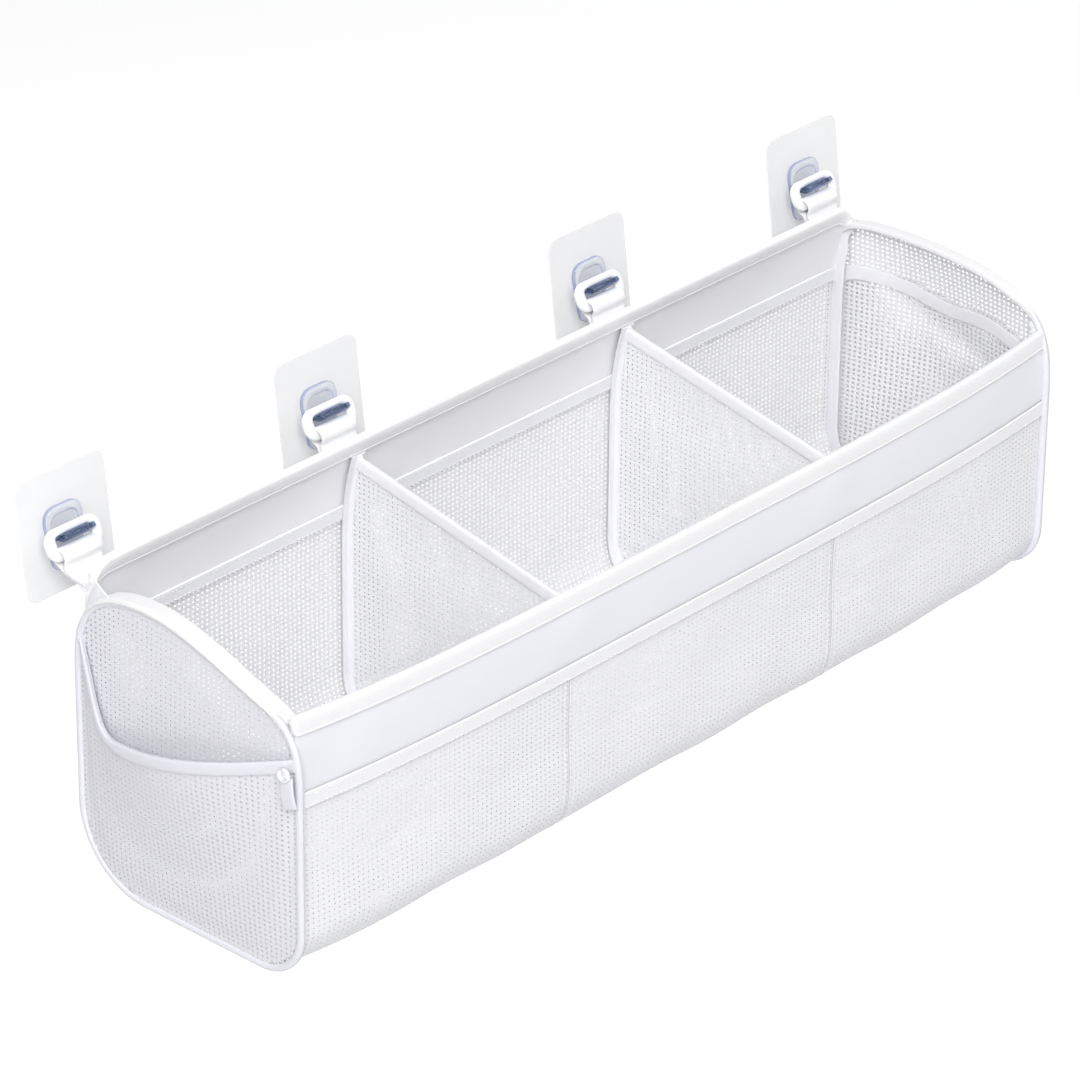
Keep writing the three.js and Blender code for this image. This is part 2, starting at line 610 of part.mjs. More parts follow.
const tabTop = studZ - STUD_R - GAP;
const tabOut = pocketOut(leftPocketTop, studY + TAB_WIDTH, tabTop) + NET_THICKNESS + GAP;
const tab = piece(basket, "ribbon_tab", new THREE.BoxGeometry(TAB_THICKNESS, TAB_WIDTH, TAB_LENGTH), TAPE);
tab.position.set(-tabOut - TAB_THICKNESS / 2, studY, tabTop - TAB_LENGTH / 2);

// Hooks and rings, in wall coordinates
const plateBack = FILM_THICKNESS + GAP;
const plateFront = plateBack + HOOK_PLATE_THICKNESS;
const tilt = radians(RING_TILT);
const ringDown = v2(-Math.sin(tilt), -Math.cos(tilt));
const barDrop = (RING_BAR / 2) * Math.cos(tilt) + (RING_THICKNESS / 2) * Math.sin(tilt);
const ringTop = v2(-plateFront - TONGUE_REACH * RING_SEAT_SHARE, barDrop + GAP);
const slotCentre = ringTop.clone().addScaledVector(ringDown, (RING_SLOT_HEIGHT + RING_BAR) / 2);
const lowerBar = ringTop.clone().addScaledVector(ringDown, RING_SLOT_HEIGHT + RING_BAR);

const plateShape = roundedPlate(
  HOOK_WIDTH,
  HOOK_FOOT_WIDTH,
  HOOK_TOP_Z,
  HOOK_BOTTOM_Z,
  HOOK_TOP_CORNER_R,
  HOOK_FOOT_CORNER_R,
);
const plateGeometry = new THREE.ExtrudeGeometry(plateShape, {
  depth: HOOK_PLATE_THICKNESS - 2 * HOOK_BEVEL,
  bevelEnabled: true,
  bevelThickness: HOOK_BEVEL,
  bevelSize: HOOK_BEVEL,
  bevelOffset: -HOOK_BEVEL,
  bevelSegments: 1,
  curveSegments: 5,
});
plateGeometry.rotateX(Math.PI / 2);
plateGeometry.translate(0, -plateBack - HOOK_BEVEL, 0);

// The tongue: a flat seat out of the plate, then a lip that slants up and forward
const lip = v2(-Math.cos(radians(LIP_ANGLE)), Math.sin(radians(LIP_ANGLE)));
const lipBack = v2(-lip.y, lip.x).multiplyScalar(TONGUE_THICKNESS);
const seatEnd = v2(-plateFront - TONGUE_REACH, 0);
const lipTip = seatEnd.clone().addScaledVector(lip, LIP_LENGTH);
const lipTipFront = lipTip.clone().add(lipBack);
const underTurn = TONGUE_THICKNESS * Math.tan(radians(LIP_ANGLE / 2));
const tongueOutline = [
  v2(-plateFront + HOOK_PLATE_THICKNESS / 2, 0),
  seatEnd,
  lipTip,
  lipTipFront,
  v2(seatEnd.x - underTurn, -TONGUE_THICKNESS),
  v2(-plateFront - TONGUE_THICKNESS, -TONGUE_THICKNESS),
  v2(-plateFront + HOOK_PLATE_THICKNESS / 2, -2 * TONGUE_THICKNESS),
];
const tongueSides = [-TONGUE_WIDTH / 2, TONGUE_WIDTH / 2];
const tongueGeometry = sweep(tongueOutline, tongueSides, (x, p) => v3(x, p.x, p.y));
const hookGeometry = join(plateGeometry, tongueGeometry);

const filmShape = roundedPlate(
  FILM_WIDTH,
  FILM_WIDTH,
  FILM_HEIGHT / 2,
  -FILM_HEIGHT / 2,
  FILM_CORNER_R,
  FILM_CORNER_R,
);
const filmGeometry = new THREE.ExtrudeGeometry(filmShape, {
  depth: FILM_THICKNESS,
  bevelEnabled: false,
  curveSegments: 5,
});
filmGeometry.rotateX(Math.PI / 2);

// A stadium outline, for the ring and its slot
function stadium(target, length, height) {
  const r = height / 2;
  const half = length / 2 - r;
  target.absarc(half, 0, r, -Math.PI / 2, Math.PI / 2);
  target.absarc(-half, 0, r, Math.PI / 2, 1.5 * Math.PI);
  target.closePath();
  return target;
}
const ringHeight = RING_SLOT_HEIGHT + 2 * RING_BAR;
const ringShape = stadium(new THREE.Shape(), RING_SLOT_LENGTH + 2 * RING_END, ringHeight);
const slot = new THREE.Path();
const slotHalf = RING_SLOT_LENGTH / 2;
slot.moveTo(-slotHalf, -RING_SLOT_HEIGHT / 2);
slot.lineTo(slotHalf, -RING_SLOT_HEIGHT / 2);
slot.lineTo(slotHalf, RING_SLOT_HEIGHT / 2);
slot.lineTo(-slotHalf, RING_SLOT_HEIGHT / 2);
slot.closePath();
ringShape.holes.push(slot);
const ringGeometry = new THREE.ExtrudeGeometry(ringShape, {
  depth: RING_THICKNESS,
  bevelEnabled: false,
  curveSegments: 6,
});
ringGeometry.translate(0, 0, -RING_THICKNESS / 2);

// The basket leans back until its hoops meet the wall, with its rear rim a little below the rings' slots.
const lean = radians(BASKET_TILT);
const inWallFrame = (p) => v2(p.x * Math.cos(lean) - p.y * Math.sin(lean), p.x * Math.sin(lean) + p.y * Math.cos(lean));
const rearmost = Math.max(...lowStations.map((station) => inWallFrame(hoopOffset(station, PIPING_R)).x));
const rimPoint = inWallFrame(v2(-REAR_RIM_INSET, REAR_RIM_HEIGHT));
const hang = v2(-WALL_GAP - rearmost, slotCentre.y - RIM_BELOW_SLOT - rimPoint.y);
basket.rotation.x = lean;
basket.position.set(0, hang.x, hang.y);
const inBasketFrame = (p) => {
  const at = p.clone().sub(hang);
  return v2(at.x * Math.cos(lean) + at.y * Math.sin(lean), at.y * Math.cos(lean) - at.x * Math.sin(lean));
};

// A strap: a webbing loop round the ring's lower bar, and a doubled tail sewn to the rear band
const bar = inBasketFrame(lowerBar);
const loopInside = Math.hypot(RING_BAR / 2, RING_THICKNESS / 2) + GAP;
const loopOutside = loopInside + STRAP_THICKNESS;
const doubled = 2 * STRAP_THICKNESS;
const tailPoints = steps(STRAP_TAIL_START + STRAP_TAIL_LENGTH, STRAP_TAIL_START, 3);
const tailNear = tailPoints.map((s) => wallPoint(s, -GAP, 0)).map((p) => v2(p.y, p.z));
const tailFar = tailPoints.map((s) => wallPoint(s, -GAP - doubled, 0)).map((p) => v2(p.y, p.z));
const tailTop = tailNear[tailNear.length - 1].clone().add(tailFar[tailFar.length - 1]).multiplyScalar(0.5);
const pull = tailTop.clone().sub(bar);
const pullAngle = Math.atan2(pull.y, pull.x);
const halfMouth = Math.asin(STRAP_THICKNESS / loopOutside);
const loopArc = range(2 * ROUND_STEPS + 1).map((i) => {
  const turn = pullAngle + halfMouth + ((2 * Math.PI - 2 * halfMouth) * i) / (2 * ROUND_STEPS);
  return v2(bar.x + loopOutside * Math.cos(turn), bar.y + loopOutside * Math.sin(turn));
});
const strapShape = new THREE.Shape([...tailFar, ...loopArc, ...tailNear.slice().reverse()]);
strapShape.holes.push(new THREE.Path(circleSection(loopInside, 2 * ROUND_STEPS).map((p) => p.clone().add(bar))));
const strapGeometry = new THREE.ExtrudeGeometry(strapShape, { depth: STRAP_WIDTH, bevelEnabled: false });
strapGeometry.rotateY(Math.PI / 2);
strapGeometry.rotateX(Math.PI / 2);
strapGeometry.translate(-STRAP_WIDTH / 2, 0, 0);

// The end straps are cut on a slant, so that their tails stay inside the hoops.
function slantedStrap(x) {
  const side = Math.sign(x);
  const inside = side * END_X - x;
  const outside = side * (STRAP_WIDTH / 2 + 1);
  const low = tailNear[0].y - 1;
  const high = bar.y - loopOutside;
  const waste = [
    v2(inside, low),
    v2(inside, tailTop.y + GAP),
    v2(side * (STRAP_WIDTH / 2), high),
    v2(outside, high),
    v2(outside, low),
  ];
  const reach = loopOutside + HOOP_DEPTH;
  const wedge = sweep(waste, [-reach, reach], (y, p) => v3(p.x, y, p.y));
  return cut(strapGeometry, wedge);
}

[-END_HOOK_X, -DIVIDER_X, DIVIDER_X, END_HOOK_X].forEach((x, i) => {
  const label = i + 1;
  const hookX = x + HOOK_SIDE_SHIFT;
  piece(part, "wall_film_" + label, filmGeometry, FILM).position.set(hookX + FILM_SIDE_SHIFT, 0, FILM_CENTRE_Z);
  piece(part, "hook_" + label, hookGeometry, CLEAR).position.set(hookX, 0, 0);

  const ring = piece(part, "hang_ring_" + label, ringGeometry, RING_PLASTIC);
  ring.rotation.x = Math.PI / 2 - tilt;
  ring.position.set(x, slotCentre.x, slotCentre.y);

  const strap = Math.abs(x) === END_HOOK_X ? slantedStrap(x) : strapGeometry;
  piece(basket, "strap_" + label, strap, WEBBING).position.x = x;
});

export default part;
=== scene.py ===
# %% [markdown]
# A bath toy holder: a long white net basket with three compartments and a net pocket outside each end.
# Four webbing loops hang it by white rings on clear hooks, and each hook sits on a pale film on the wall.
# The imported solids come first. They are the frame that every softer piece below has to fit.

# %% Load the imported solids
import math

import bpy
import numpy as np
from mathutils import Matrix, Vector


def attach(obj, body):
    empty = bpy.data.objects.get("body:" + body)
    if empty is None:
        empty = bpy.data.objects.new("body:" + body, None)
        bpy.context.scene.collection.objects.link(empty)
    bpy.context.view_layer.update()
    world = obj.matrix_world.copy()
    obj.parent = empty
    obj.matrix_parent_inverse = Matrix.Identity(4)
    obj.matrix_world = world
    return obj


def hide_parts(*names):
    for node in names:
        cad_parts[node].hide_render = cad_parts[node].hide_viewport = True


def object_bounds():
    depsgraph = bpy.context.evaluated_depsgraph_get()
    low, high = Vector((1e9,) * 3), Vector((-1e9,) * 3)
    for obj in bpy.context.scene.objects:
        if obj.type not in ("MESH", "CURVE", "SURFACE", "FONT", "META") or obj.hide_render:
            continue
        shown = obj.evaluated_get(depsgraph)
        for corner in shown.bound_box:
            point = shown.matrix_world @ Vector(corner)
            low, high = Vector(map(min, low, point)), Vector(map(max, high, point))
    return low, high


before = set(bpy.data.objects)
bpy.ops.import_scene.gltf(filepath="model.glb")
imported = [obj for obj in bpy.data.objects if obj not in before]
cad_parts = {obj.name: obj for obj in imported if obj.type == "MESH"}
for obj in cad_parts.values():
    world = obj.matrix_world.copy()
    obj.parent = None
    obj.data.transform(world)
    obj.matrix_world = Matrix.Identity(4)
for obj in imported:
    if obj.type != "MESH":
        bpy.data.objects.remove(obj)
solid_box = [list(corner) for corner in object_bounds()]
print("solids", len(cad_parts), "box", np.round(solid_box, 4).tolist())

# %% [markdown]
# The picture is taken from the left end, a little above, with a long lens.
# A camera could be aimed by eye. Here its place and axes come from fitting the long rims and the end hoop,
# so that every later piece can be compared with the picture spot by spot.

# %% Camera
MM = 0.001
CAMERA_AT = np.array([-1963.40, -1969.55, 1058.42]) * MM
CAMERA_AXES = np.array([
    [0.67044, -0.73729, -0.08313],
    [0.34105, 0.20674, 0.91703],
    [-0.65893, -0.64316, 0.39006],
])
SENSOR_WIDTH = 36
LENS = 183.82
FARTHEST = 60
camera_data = bpy.data.cameras.new("camera")
camera_data.sensor_width = SENSOR_WIDTH
camera_data.lens = LENS
camera_data.clip_end = FARTHEST
camera = bpy.data.objects.new("camera", camera_data)
bpy.context.scene.collection.objects.link(camera)
camera_matrix = np.eye(4)
camera_matrix[:3, :3] = CAMERA_AXES.T
camera_matrix[:3, 3] = CAMERA_AT
camera.matrix_world = Matrix(camera_matrix.tolist())
bpy.context.scene.camera = camera
bpy.context.scene.view_settings.view_transform = "Standard"
print("camera", np.round(CAMERA_AT, 3).tolist(), "lens", LENS)

# %% [markdown]
# White cloth on white needs even light, or it turns grey, and an open basket soon looks dark inside.
# A pale sky all round gives the base. A wide soft lamp from the front left, rather high, reaches into the
# basket as well as onto its outside. It stands far off, so that both ends get about as much. Three weaker
# lamps, from the front right, from the left and from overhead, lift what it leaves in shade.
# Only rays that the camera sees directly, or through gloss or clear plastic, find a pure white backdrop.

# %% Sky, lamps and floor
SKY_LIGHT = 0.325
FLOOR_DROP = 0.9
FLOOR_HALF = 14
FLOOR_LIFT = 0.54
LAMP_AIM = np.array([0, -0.08, -0.1])
LAMPS = (
    ("front_softbox", (-2.75, -3.0, 2.9), 3.2, 182),
    ("right_softbox", (2.0, -3.0, 3.2), 3.0, 45),
    ("left_softbox", (-3.6, -0.7, 2.0), 2.6, 22),
    ("overhead_softbox", (0, -0.15, 2.6), 1.8, 13),
)


def pure_white_for_the_eye(nodes, links):
    """One where a ray comes from the camera, a reflection or clear plastic, and zero elsewhere:
    the largest of the three answers."""
    path = nodes.new("ShaderNodeLightPath")
    largest = path.outputs["Is Camera Ray"]
    for ray in ("Is Glossy Ray", "Is Transmission Ray"):
        either = nodes.new("ShaderNodeMath")
        either.operation = "MAXIMUM"
        links.new(largest, either.inputs[0])
        links.new(path.outputs[ray], either.inputs[1])
        largest = either.outputs[0]
    return largest


def make_sky():
    """A world of one pale tint for lighting, and of pure white for the eye."""
    world = bpy.data.worlds.new("sky")
    bpy.context.scene.world = world
    world.use_nodes = True
    nodes, links = world.node_tree.nodes, world.node_tree.links
    lighting = nodes["Background"]
    lighting.inputs["Color"].default_value = (0.985, 0.987, 1.0, 1)
    lighting.inputs["Strength"].default_value = SKY_LIGHT
    seen = nodes.new("ShaderNodeBackground")
    seen.inputs["Color"].default_value = (1, 1, 1, 1)
    seen.inputs["Strength"].default_value = 1
    mix = nodes.new("ShaderNodeMixShader")
    links.new(pure_white_for_the_eye(nodes, links), mix.inputs[0])
    links.new(lighting.outputs[0], mix.inputs[1])
    links.new(seen.outputs[0], mix.inputs[2])
    links.new(mix.outputs[0], nodes["World Output"].inputs["Surface"])


def add_lamp(name, place, size, power):
    """A square soft lamp at a place, turned so that its face looks at the basket."""
    lamp = bpy.data.lights.new(name, "AREA")
    lamp.size = size
    lamp.energy = power
    thing = bpy.data.objects.new(name, lamp)
    bpy.context.scene.collection.objects.link(thing)
    back = np.array(place, float) - LAMP_AIM
    back /= np.linalg.norm(back)
    across = np.cross([0, 0.1, 1], back)
    across /= np.linalg.norm(across)
    turn = np.eye(4)
    turn[:3, :3] = np.stack([across, np.cross(back, across), back], 1)
    turn[:3, 3] = place
    thing.matrix_world = Matrix(turn.tolist())


def make_floor():
    """A wide pale square below the basket, which takes its soft shadow."""
    floor_z = solid_box[0][2] - FLOOR_DROP
    mesh = bpy.data.meshes.new("floor")
    corners = [(FLOOR_HALF * x, FLOOR_HALF * y, floor_z) for x, y in ((-1, -1), (1, -1), (1, 1), (-1, 1))]
    mesh.from_pydata(corners, [], [(0, 1, 2, 3)])
    floor = bpy.data.objects.new("floor", mesh)
    bpy.context.scene.collection.objects.link(floor)
    material = bpy.data.materials.new("pale_floor")
    material.use_nodes = True
    nodes, links = material.node_tree.nodes, material.node_tree.links
    shader = nodes["Principled BSDF"]
    shader.inputs["Base Color"].default_value = (0.9, 0.9, 0.91, 1)
    shader.inputs["Roughness"].default_value = 0.9
    shader.inputs["Specular IOR Level"].default_value = 0.1
    shader.inputs["Emission Color"].default_value = (1, 1, 1, 1)
    lift = nodes.new("ShaderNodeMath")
    lift.operation = "MULTIPLY"
    lift.inputs[1].default_value = FLOOR_LIFT
    links.new(pure_white_for_the_eye(nodes, links), lift.inputs[0])
    links.new(lift.outputs[0], shader.inputs["Emission Strength"])
    mesh.materials.append(material)


make_sky()
for name, place, size, power in LAMPS:
    add_lamp(name, place, size, power)
make_floor()
print("sky", SKY_LIGHT, "and", len(LAMPS), "lamps")

# %% [markdown]
# The basket has its own upright frame in millimetres: x along it, y = 0 at the rear of its end hoops with the
# front at negative y, z = 0 at its lowest line. It leans back against the wall by a few degrees.
# Working in that frame keeps every formula short. One function then hangs the points on the wall, in metres.

# %% The basket's frame
LEAN = math.radians(7.2)
HANG_Y = 2.47479
HANG_Z = -192.37176
HALF = 300.0


def hung(points):
    """Basket points to the wall's frame: turned by the lean about x, moved to where the basket hangs,
    and changed from millimetres to metres."""
    x, y, z = np.moveaxis(np.asarray(points, float), -1, 0)
    back = HANG_Y + y * math.cos(LEAN) - z * math.sin(LEAN)
    up = HANG_Z + y * math.sin(LEAN) + z * math.cos(LEAN)
    return MM * np.stack([x, back, up], -1)


def smooth(value, low, high):
    """Zero below low, one above high, and the S of 3t^2 - 2t^3 between them."""
    t = np.clip((value - low) / (high - low), 0, 1)
    return t * t * (3 - 2 * t)


def bell(value, middle, width):
    """One at the middle and near zero two widths away: e to the minus square of the distance in widths."""
    return np.exp(-(((value - middle) / width) ** 2))


def unit(rows):
    """Rows of vectors, each divided by its own length."""
    return rows / np.linalg.norm(rows, axis=-1, keepdims=True)


print("basket", 2 * HALF, "mm long, leaning by", round(math.degrees(LEAN), 1), "degrees")

# %% [markdown]
# Two kinds of outline shape the whole basket: the hoop around each end, and the long wall from the rear rim
# under the bottom to the front rim. They are chains of straight runs, arcs and Bezier curves in (y, z).
# A spring wire never bends twice alike: the left arch slopes to the front, and the right one stands square.
# A point on a chain is found by its distance along it, which keeps net and tape from stretching.

# %% Outlines


def bezier(*controls, count=60):
    """A Bezier curve: neighbouring control points blended by t, again and again, until one point is left."""
    t = np.linspace(0, 1, count)[:, None]
    level = [np.array(c, float) + 0 * t for c in controls]
    while len(level) > 1:
        level = [a + (b - a) * t for a, b in zip(level, level[1:])]
    return level[0]


def arc(centre, radius, start, stop, count=40):
    """Points at one radius from a centre, with the angle going evenly from start to stop, in degrees."""
    turn = np.radians(np.linspace(start, stop, count))
    return np.array(centre) + radius * np.stack([np.cos(turn), np.sin(turn)], -1)


def chain(*runs):
    """Runs laid end to end, without the doubled points where they meet."""
    path = np.concatenate([np.atleast_2d(r) for r in runs])
    far = np.linalg.norm(np.diff(path, axis=0), axis=1) > 1e-6
    return path[np.concatenate([[True], far])]


def travelled(path):
    """The distance along a path at each of its points: the running sum of its steps."""
    return np.concatenate([[0], np.cumsum(np.linalg.norm(np.diff(path, axis=0), axis=1))])


def evenly(path, count):
    """A path read again at evenly spaced distances."""
    length = travelled(path)
    at = np.linspace(0, length[-1], count)
    return np.stack([np.interp(at, length, path[:, k]) for k in range(path.shape[1])], -1)


def along(path, s):
    """Point and unit direction at the distances s: both interpolated, the direction over a millimetre."""
    length = travelled(path)
    pick = lambda at: np.stack([np.interp(at, length, path[:, k]) for k in range(path.shape[1])], -1)
    ahead = pick(np.clip(s + 0.5, 0, length[-1])) - pick(np.clip(s - 0.5, 0, length[-1]))
    return pick(s), unit(ahead)


HOOP_DEPTH = 156
HOOP_HEIGHT = 178
HALFWAY_Y = -HOOP_DEPTH / 2
REAR_RIM_Z = 186
FRONT_RIM_Z = 151
LEFT, RIGHT = -1, 1
hoop_foot = chain(arc((-128, 28), 28, 180, 270), arc((-45, 45), 45, 270, 360))
hoop_paths = {
    LEFT: chain(
        bezier((-50, 173), (-78, 173), (-104, 160), (-132, 151)),
        bezier((-132, 151), (-149, 145.5), (-HOOP_DEPTH, 135), (-HOOP_DEPTH, 112)),
        hoop_foot,
        bezier((0, 119), (0, 146), (-3, 173), (-50, 173)),
    ),
    RIGHT: chain(
        bezier((-55, HOOP_HEIGHT), (-150, HOOP_HEIGHT), (-HOOP_DEPTH, 154), (-HOOP_DEPTH, 112)),
        hoop_foot,
        bezier((0, 119), (0, 171), (-3, HOOP_HEIGHT), (-55, HOOP_HEIGHT)),
    ),
}
wall_path = chain(
    bezier((-10.5, REAR_RIM_Z), (-10.5, 175.5), (-1, 162), (-1, 119)),
    arc((-45, 45), 44, 0, -90),
    arc((-128, 28), 27, -90, -180),
    bezier((-155, 101.5), (-155, 140.5), (-150, FRONT_RIM_Z)),
)
HOOP_LENGTH = {side: travelled(path)[-1] for side, path in hoop_paths.items()}
WALL_LENGTH = travelled(wall_path)[-1]
FRONT_LEAN = 7
FRONT_SAG = 4
FRONT_BELLY = 5
CORNER_R = 13.0


def hoop(side, s, out):
    """(y, z) at a distance s round one end's hoop from its crown, moved out of it by out along its normal."""
    point, way = along(hoop_paths[side], np.mod(s, HOOP_LENGTH[side]))
    return point + np.asarray(out)[..., None] * np.stack([way[..., 1], -way[..., 0]], -1)


def wall(s, depth, x):
    """A point of the long wall: s along it from the rear rim, depth inwards from its outer face, x along
    the basket. The front leans out and its rim sags by a fourth-power bow of x, its lower edge bellies by
    a flatter bow, and the rear rim's two corners are rounded down by a quarter circle."""
    s, depth, x = np.broadcast_arrays(*(np.asarray(v, float) for v in (s, depth, x)))
    inside = np.clip(s, 0, WALL_LENGTH)
    point, way = along(wall_path, inside)
    past = s - inside
    bow = np.where(point[..., 0] < HALFWAY_Y, 1 - (x / HALF) ** 4, 0)
    lean = FRONT_LEAN * bow * smooth(point[..., 1], 0, 56)
    sag = FRONT_SAG * bow * smooth(point[..., 1], 56, FRONT_RIM_Z)
    flat_bow = 1 - (x / HALF) ** 10
    belly = FRONT_BELLY * flat_bow * smooth(-point[..., 0], 108, 146) * smooth(-point[..., 1], -62, -14)
    over = np.clip(np.abs(x) - (HALF - CORNER_R), 0, CORNER_R)
    round_off = CORNER_R - np.sqrt(CORNER_R**2 - over**2)
    droop = round_off * np.where(point[..., 0] > HALFWAY_Y, smooth(point[..., 1], 128, REAR_RIM_Z), 0)
    depth = depth - belly
    y = point[..., 0] + way[..., 1] * depth + way[..., 0] * past - lean
    z = point[..., 1] - way[..., 0] * depth + way[..., 1] * past - sag - droop
    return np.stack([x, y, z], -1)


print("hoops", np.round(list(HOOP_LENGTH.values()), 1), "mm round, long wall", round(WALL_LENGTH, 1), "mm")

# %% [markdown]
# Cloth, tape and plastic are told apart by small things: a weave, ribs, a dull or a bright surface.
# Each finish below is one shader with a little colour drift from noise and a bump of its own scale.
# Patterns that follow a piece, such as ribs along a tape, read its UV map, which is laid out in metres.
# More light falls on the outside than on the inside, yet the picture shows both at about the same tone.
# So nets, bands and tapes that face out have slightly deeper shades than those inside.

# %% Finishes


def new_finish(name, roughness, sheen=0.0):
    """A material with a principled shader of that roughness and sheen, and its nodes and links."""
    material = bpy.data.materials.new(name)
    material.use_nodes = True
    nodes, links = material.node_tree.nodes, material.node_tree.links
    shader = nodes["Principled BSDF"]
    shader.inputs["Roughness"].default_value = roughness
    shader.inputs["Sheen Weight"].default_value = sheen
    shader.inputs["Specular IOR Level"].default_value = 0.25
    return material, nodes, links, shader


def drifting_colour(nodes, links, shader, pale, deep, cells):
    """Base colour that drifts between two close shades with a soft noise of that many cells a metre."""
    where = nodes.new("ShaderNodeTexCoord")
    noise = nodes.new("ShaderNodeTexNoise")
    noise.inputs["Scale"].default_value = cells
    noise.inputs["Detail"].default_value = 3
    mix = nodes.new("ShaderNodeMix")
    mix.data_type = "RGBA"
    mix.inputs["A"].default_value = (*pale, 1)
    mix.inputs["B"].default_value = (*deep, 1)
    links.new(where.outputs["Object"], noise.inputs["Vector"])
    links.new(noise.outputs["Fac"], mix.inputs["Factor"])
    links.new(mix.outputs["Result"], shader.inputs["Base Color"])
    return where


def ribs(nodes, links, where, across, pitch):
    """Height of straight ribs over the UV map: a sine of u, of v or of both, with that pitch in metres.
    At a scale of one, the wave texture goes through 20 radians in each metre."""
    wave = nodes.new("ShaderNodeTexWave")
    wave.bands_direction = across
    wave.inputs["Scale"].default_value = 2 * math.pi / (20 * pitch)
    wave.inputs["Distortion"].default_value = 0
    links.new(where.outputs["UV"], wave.inputs["Vector"])
    return wave.outputs["Fac"]


def bumped(nodes, links, shader, height, depth, strength):
    """The shader's normal, tipped by a height of that depth in metres."""
    bump = nodes.new("ShaderNodeBump")
    bump.inputs["Strength"].default_value = strength
    bump.inputs["Distance"].default_value = depth
    links.new(height, bump.inputs["Height"])
    links.new(bump.outputs["Normal"], shader.inputs["Normal"])


def grained(nodes, links, shader, where, cells, depth, strength):
    """The shader's normal, tipped by a fine noise of that many cells a metre."""
    grain = nodes.new("ShaderNodeTexNoise")
    grain.inputs["Scale"].default_value = cells
    links.new(where.outputs["Object"], grain.inputs["Vector"])
    bumped(nodes, links, shader, grain.outputs["Fac"], depth, strength)


def product(nodes, links, first, second):
    """Two heights multiplied."""
    node = nodes.new("ShaderNodeMath")
    node.operation = "MULTIPLY"
    links.new(first, node.inputs[0])
    links.new(second, node.inputs[1])
    return node.outputs[0]


def knitted_net(name, pale, deep):
    """White knitted yarn: two close shades, a dull surface and fine twist across the yarn."""
    material, nodes, links, shader = new_finish(name, 0.75, 0.1)
    where = drifting_colour(nodes, links, shader, pale, deep, 180)
    bumped(nodes, links, shader, ribs(nodes, links, where, "DIAGONAL", 0.0007), 0.00005, 0.15)
    return material


def plain_weave(name, pale, deep):
    """Pale lilac cloth of plain weave: ribs both ways multiplied, and a slow drift of shade."""
    material, nodes, links, shader = new_finish(name, 0.7, 0.15)
    where = drifting_colour(nodes, links, shader, pale, deep, 14)
    warp = ribs(nodes, links, where, "X", 0.0006)
    weft = ribs(nodes, links, where, "Y", 0.0006)
    bumped(nodes, links, shader, product(nodes, links, warp, weft), 0.0001, 0.4)
    return material


def ribbed_tape(name, pale, deep):
    """Narrow tape: fine ribs along its length, with a faint drift of shade."""
    material, nodes, links, shader = new_finish(name, 0.65, 0.1)
    where = drifting_colour(nodes, links, shader, pale, deep, 60)
    bumped(nodes, links, shader, ribs(nodes, links, where, "Y", 0.0011), 0.00012, 0.6)
    return material


def webbing_weave():
    """Thick flat webbing: ribs along it crossed by short floats."""
    material, nodes, links, shader = new_finish("webbing_weave", 0.7, 0.1)
    where = drifting_colour(nodes, links, shader, (0.95, 0.95, 0.96), (0.92, 0.92, 0.935), 90)
    lengthwise = ribs(nodes, links, where, "X", 0.0014)
    crosswise = ribs(nodes, links, where, "Y", 0.001)
    bumped(nodes, links, shader, product(nodes, links, lengthwise, crosswise), 0.0002, 0.6)
    return material


def moulded_white():
    """White moulded plastic: smooth, a little glossy, with a faint unevenness from the mould."""
    material, nodes, links, shader = new_finish("moulded_white", 0.28)
    shader.inputs["Specular IOR Level"].default_value = 0.5
    where = drifting_colour(nodes, links, shader, (0.96, 0.96, 0.96), (0.94, 0.94, 0.945), 40)
    grained(nodes, links, shader, where, 900, 0.00004, 0.3)
    return material


def clear_plate():
    """Clear plate, by v, the share from its middle to its outline: colourless on its flats, with painted
    refraction in deep blue along its bevels and a painted blue line of shade inside its raised frame.
    It is partly see-through, so that the film behind it stays bright."""
    material, nodes, links, shader = new_finish("clear_plate", 0.08)
    shader.inputs["Specular IOR Level"].default_value = 0.5
    shader.inputs["Alpha"].default_value = 0.38
    where = nodes.new("ShaderNodeTexCoord")
    parts = nodes.new("ShaderNodeSeparateXYZ")
    tint = nodes.new("ShaderNodeValToRGB")
    # The blue line is painted shade inside the raised frame, and the blue edge is painted refraction along
    # the bevels.
    flat, line, edge = (0.94, 0.955, 0.99, 1), (0.2, 0.29, 0.66, 1), (0.13, 0.21, 0.58, 1)
    tint.color_ramp.elements[0].color = flat
    tint.color_ramp.elements[1].color = edge
    for place, colour in ((0.71, flat), (0.745, line), (0.78, flat), (0.965, flat)):
        tint.color_ramp.elements.new(place).color = colour
    links.new(where.outputs["UV"], parts.inputs["Vector"])
    links.new(parts.outputs["Y"], tint.inputs["Fac"])
    links.new(tint.outputs["Color"], shader.inputs["Base Color"])
    return material


def clear_throat():
    """The hook's tongue, thick clear plastic tinted deep blue, partly its own slight blue and partly
    painted refraction, a little uneven by a slow noise.
    """
    material, nodes, links, shader = new_finish("clear_throat", 0.03)
    shader.inputs["Transmission Weight"].default_value = 1
    shader.inputs["IOR"].default_value = 1.49
    shader.inputs["Specular IOR Level"].default_value = 0.5
    drifting_colour(nodes, links, shader, (0.2, 0.3, 0.55), (0.13, 0.21, 0.45), 70)
    return material


def pale_film():
    """Thin milky film: mostly white, partly see-through, satin."""
    material, nodes, links, shader = new_finish("pale_film", 0.35)
    shader.inputs["Alpha"].default_value = 0.75
    drifting_colour(nodes, links, shader, (0.99, 0.992, 0.99), (0.975, 0.978, 0.98), 25)
    return material


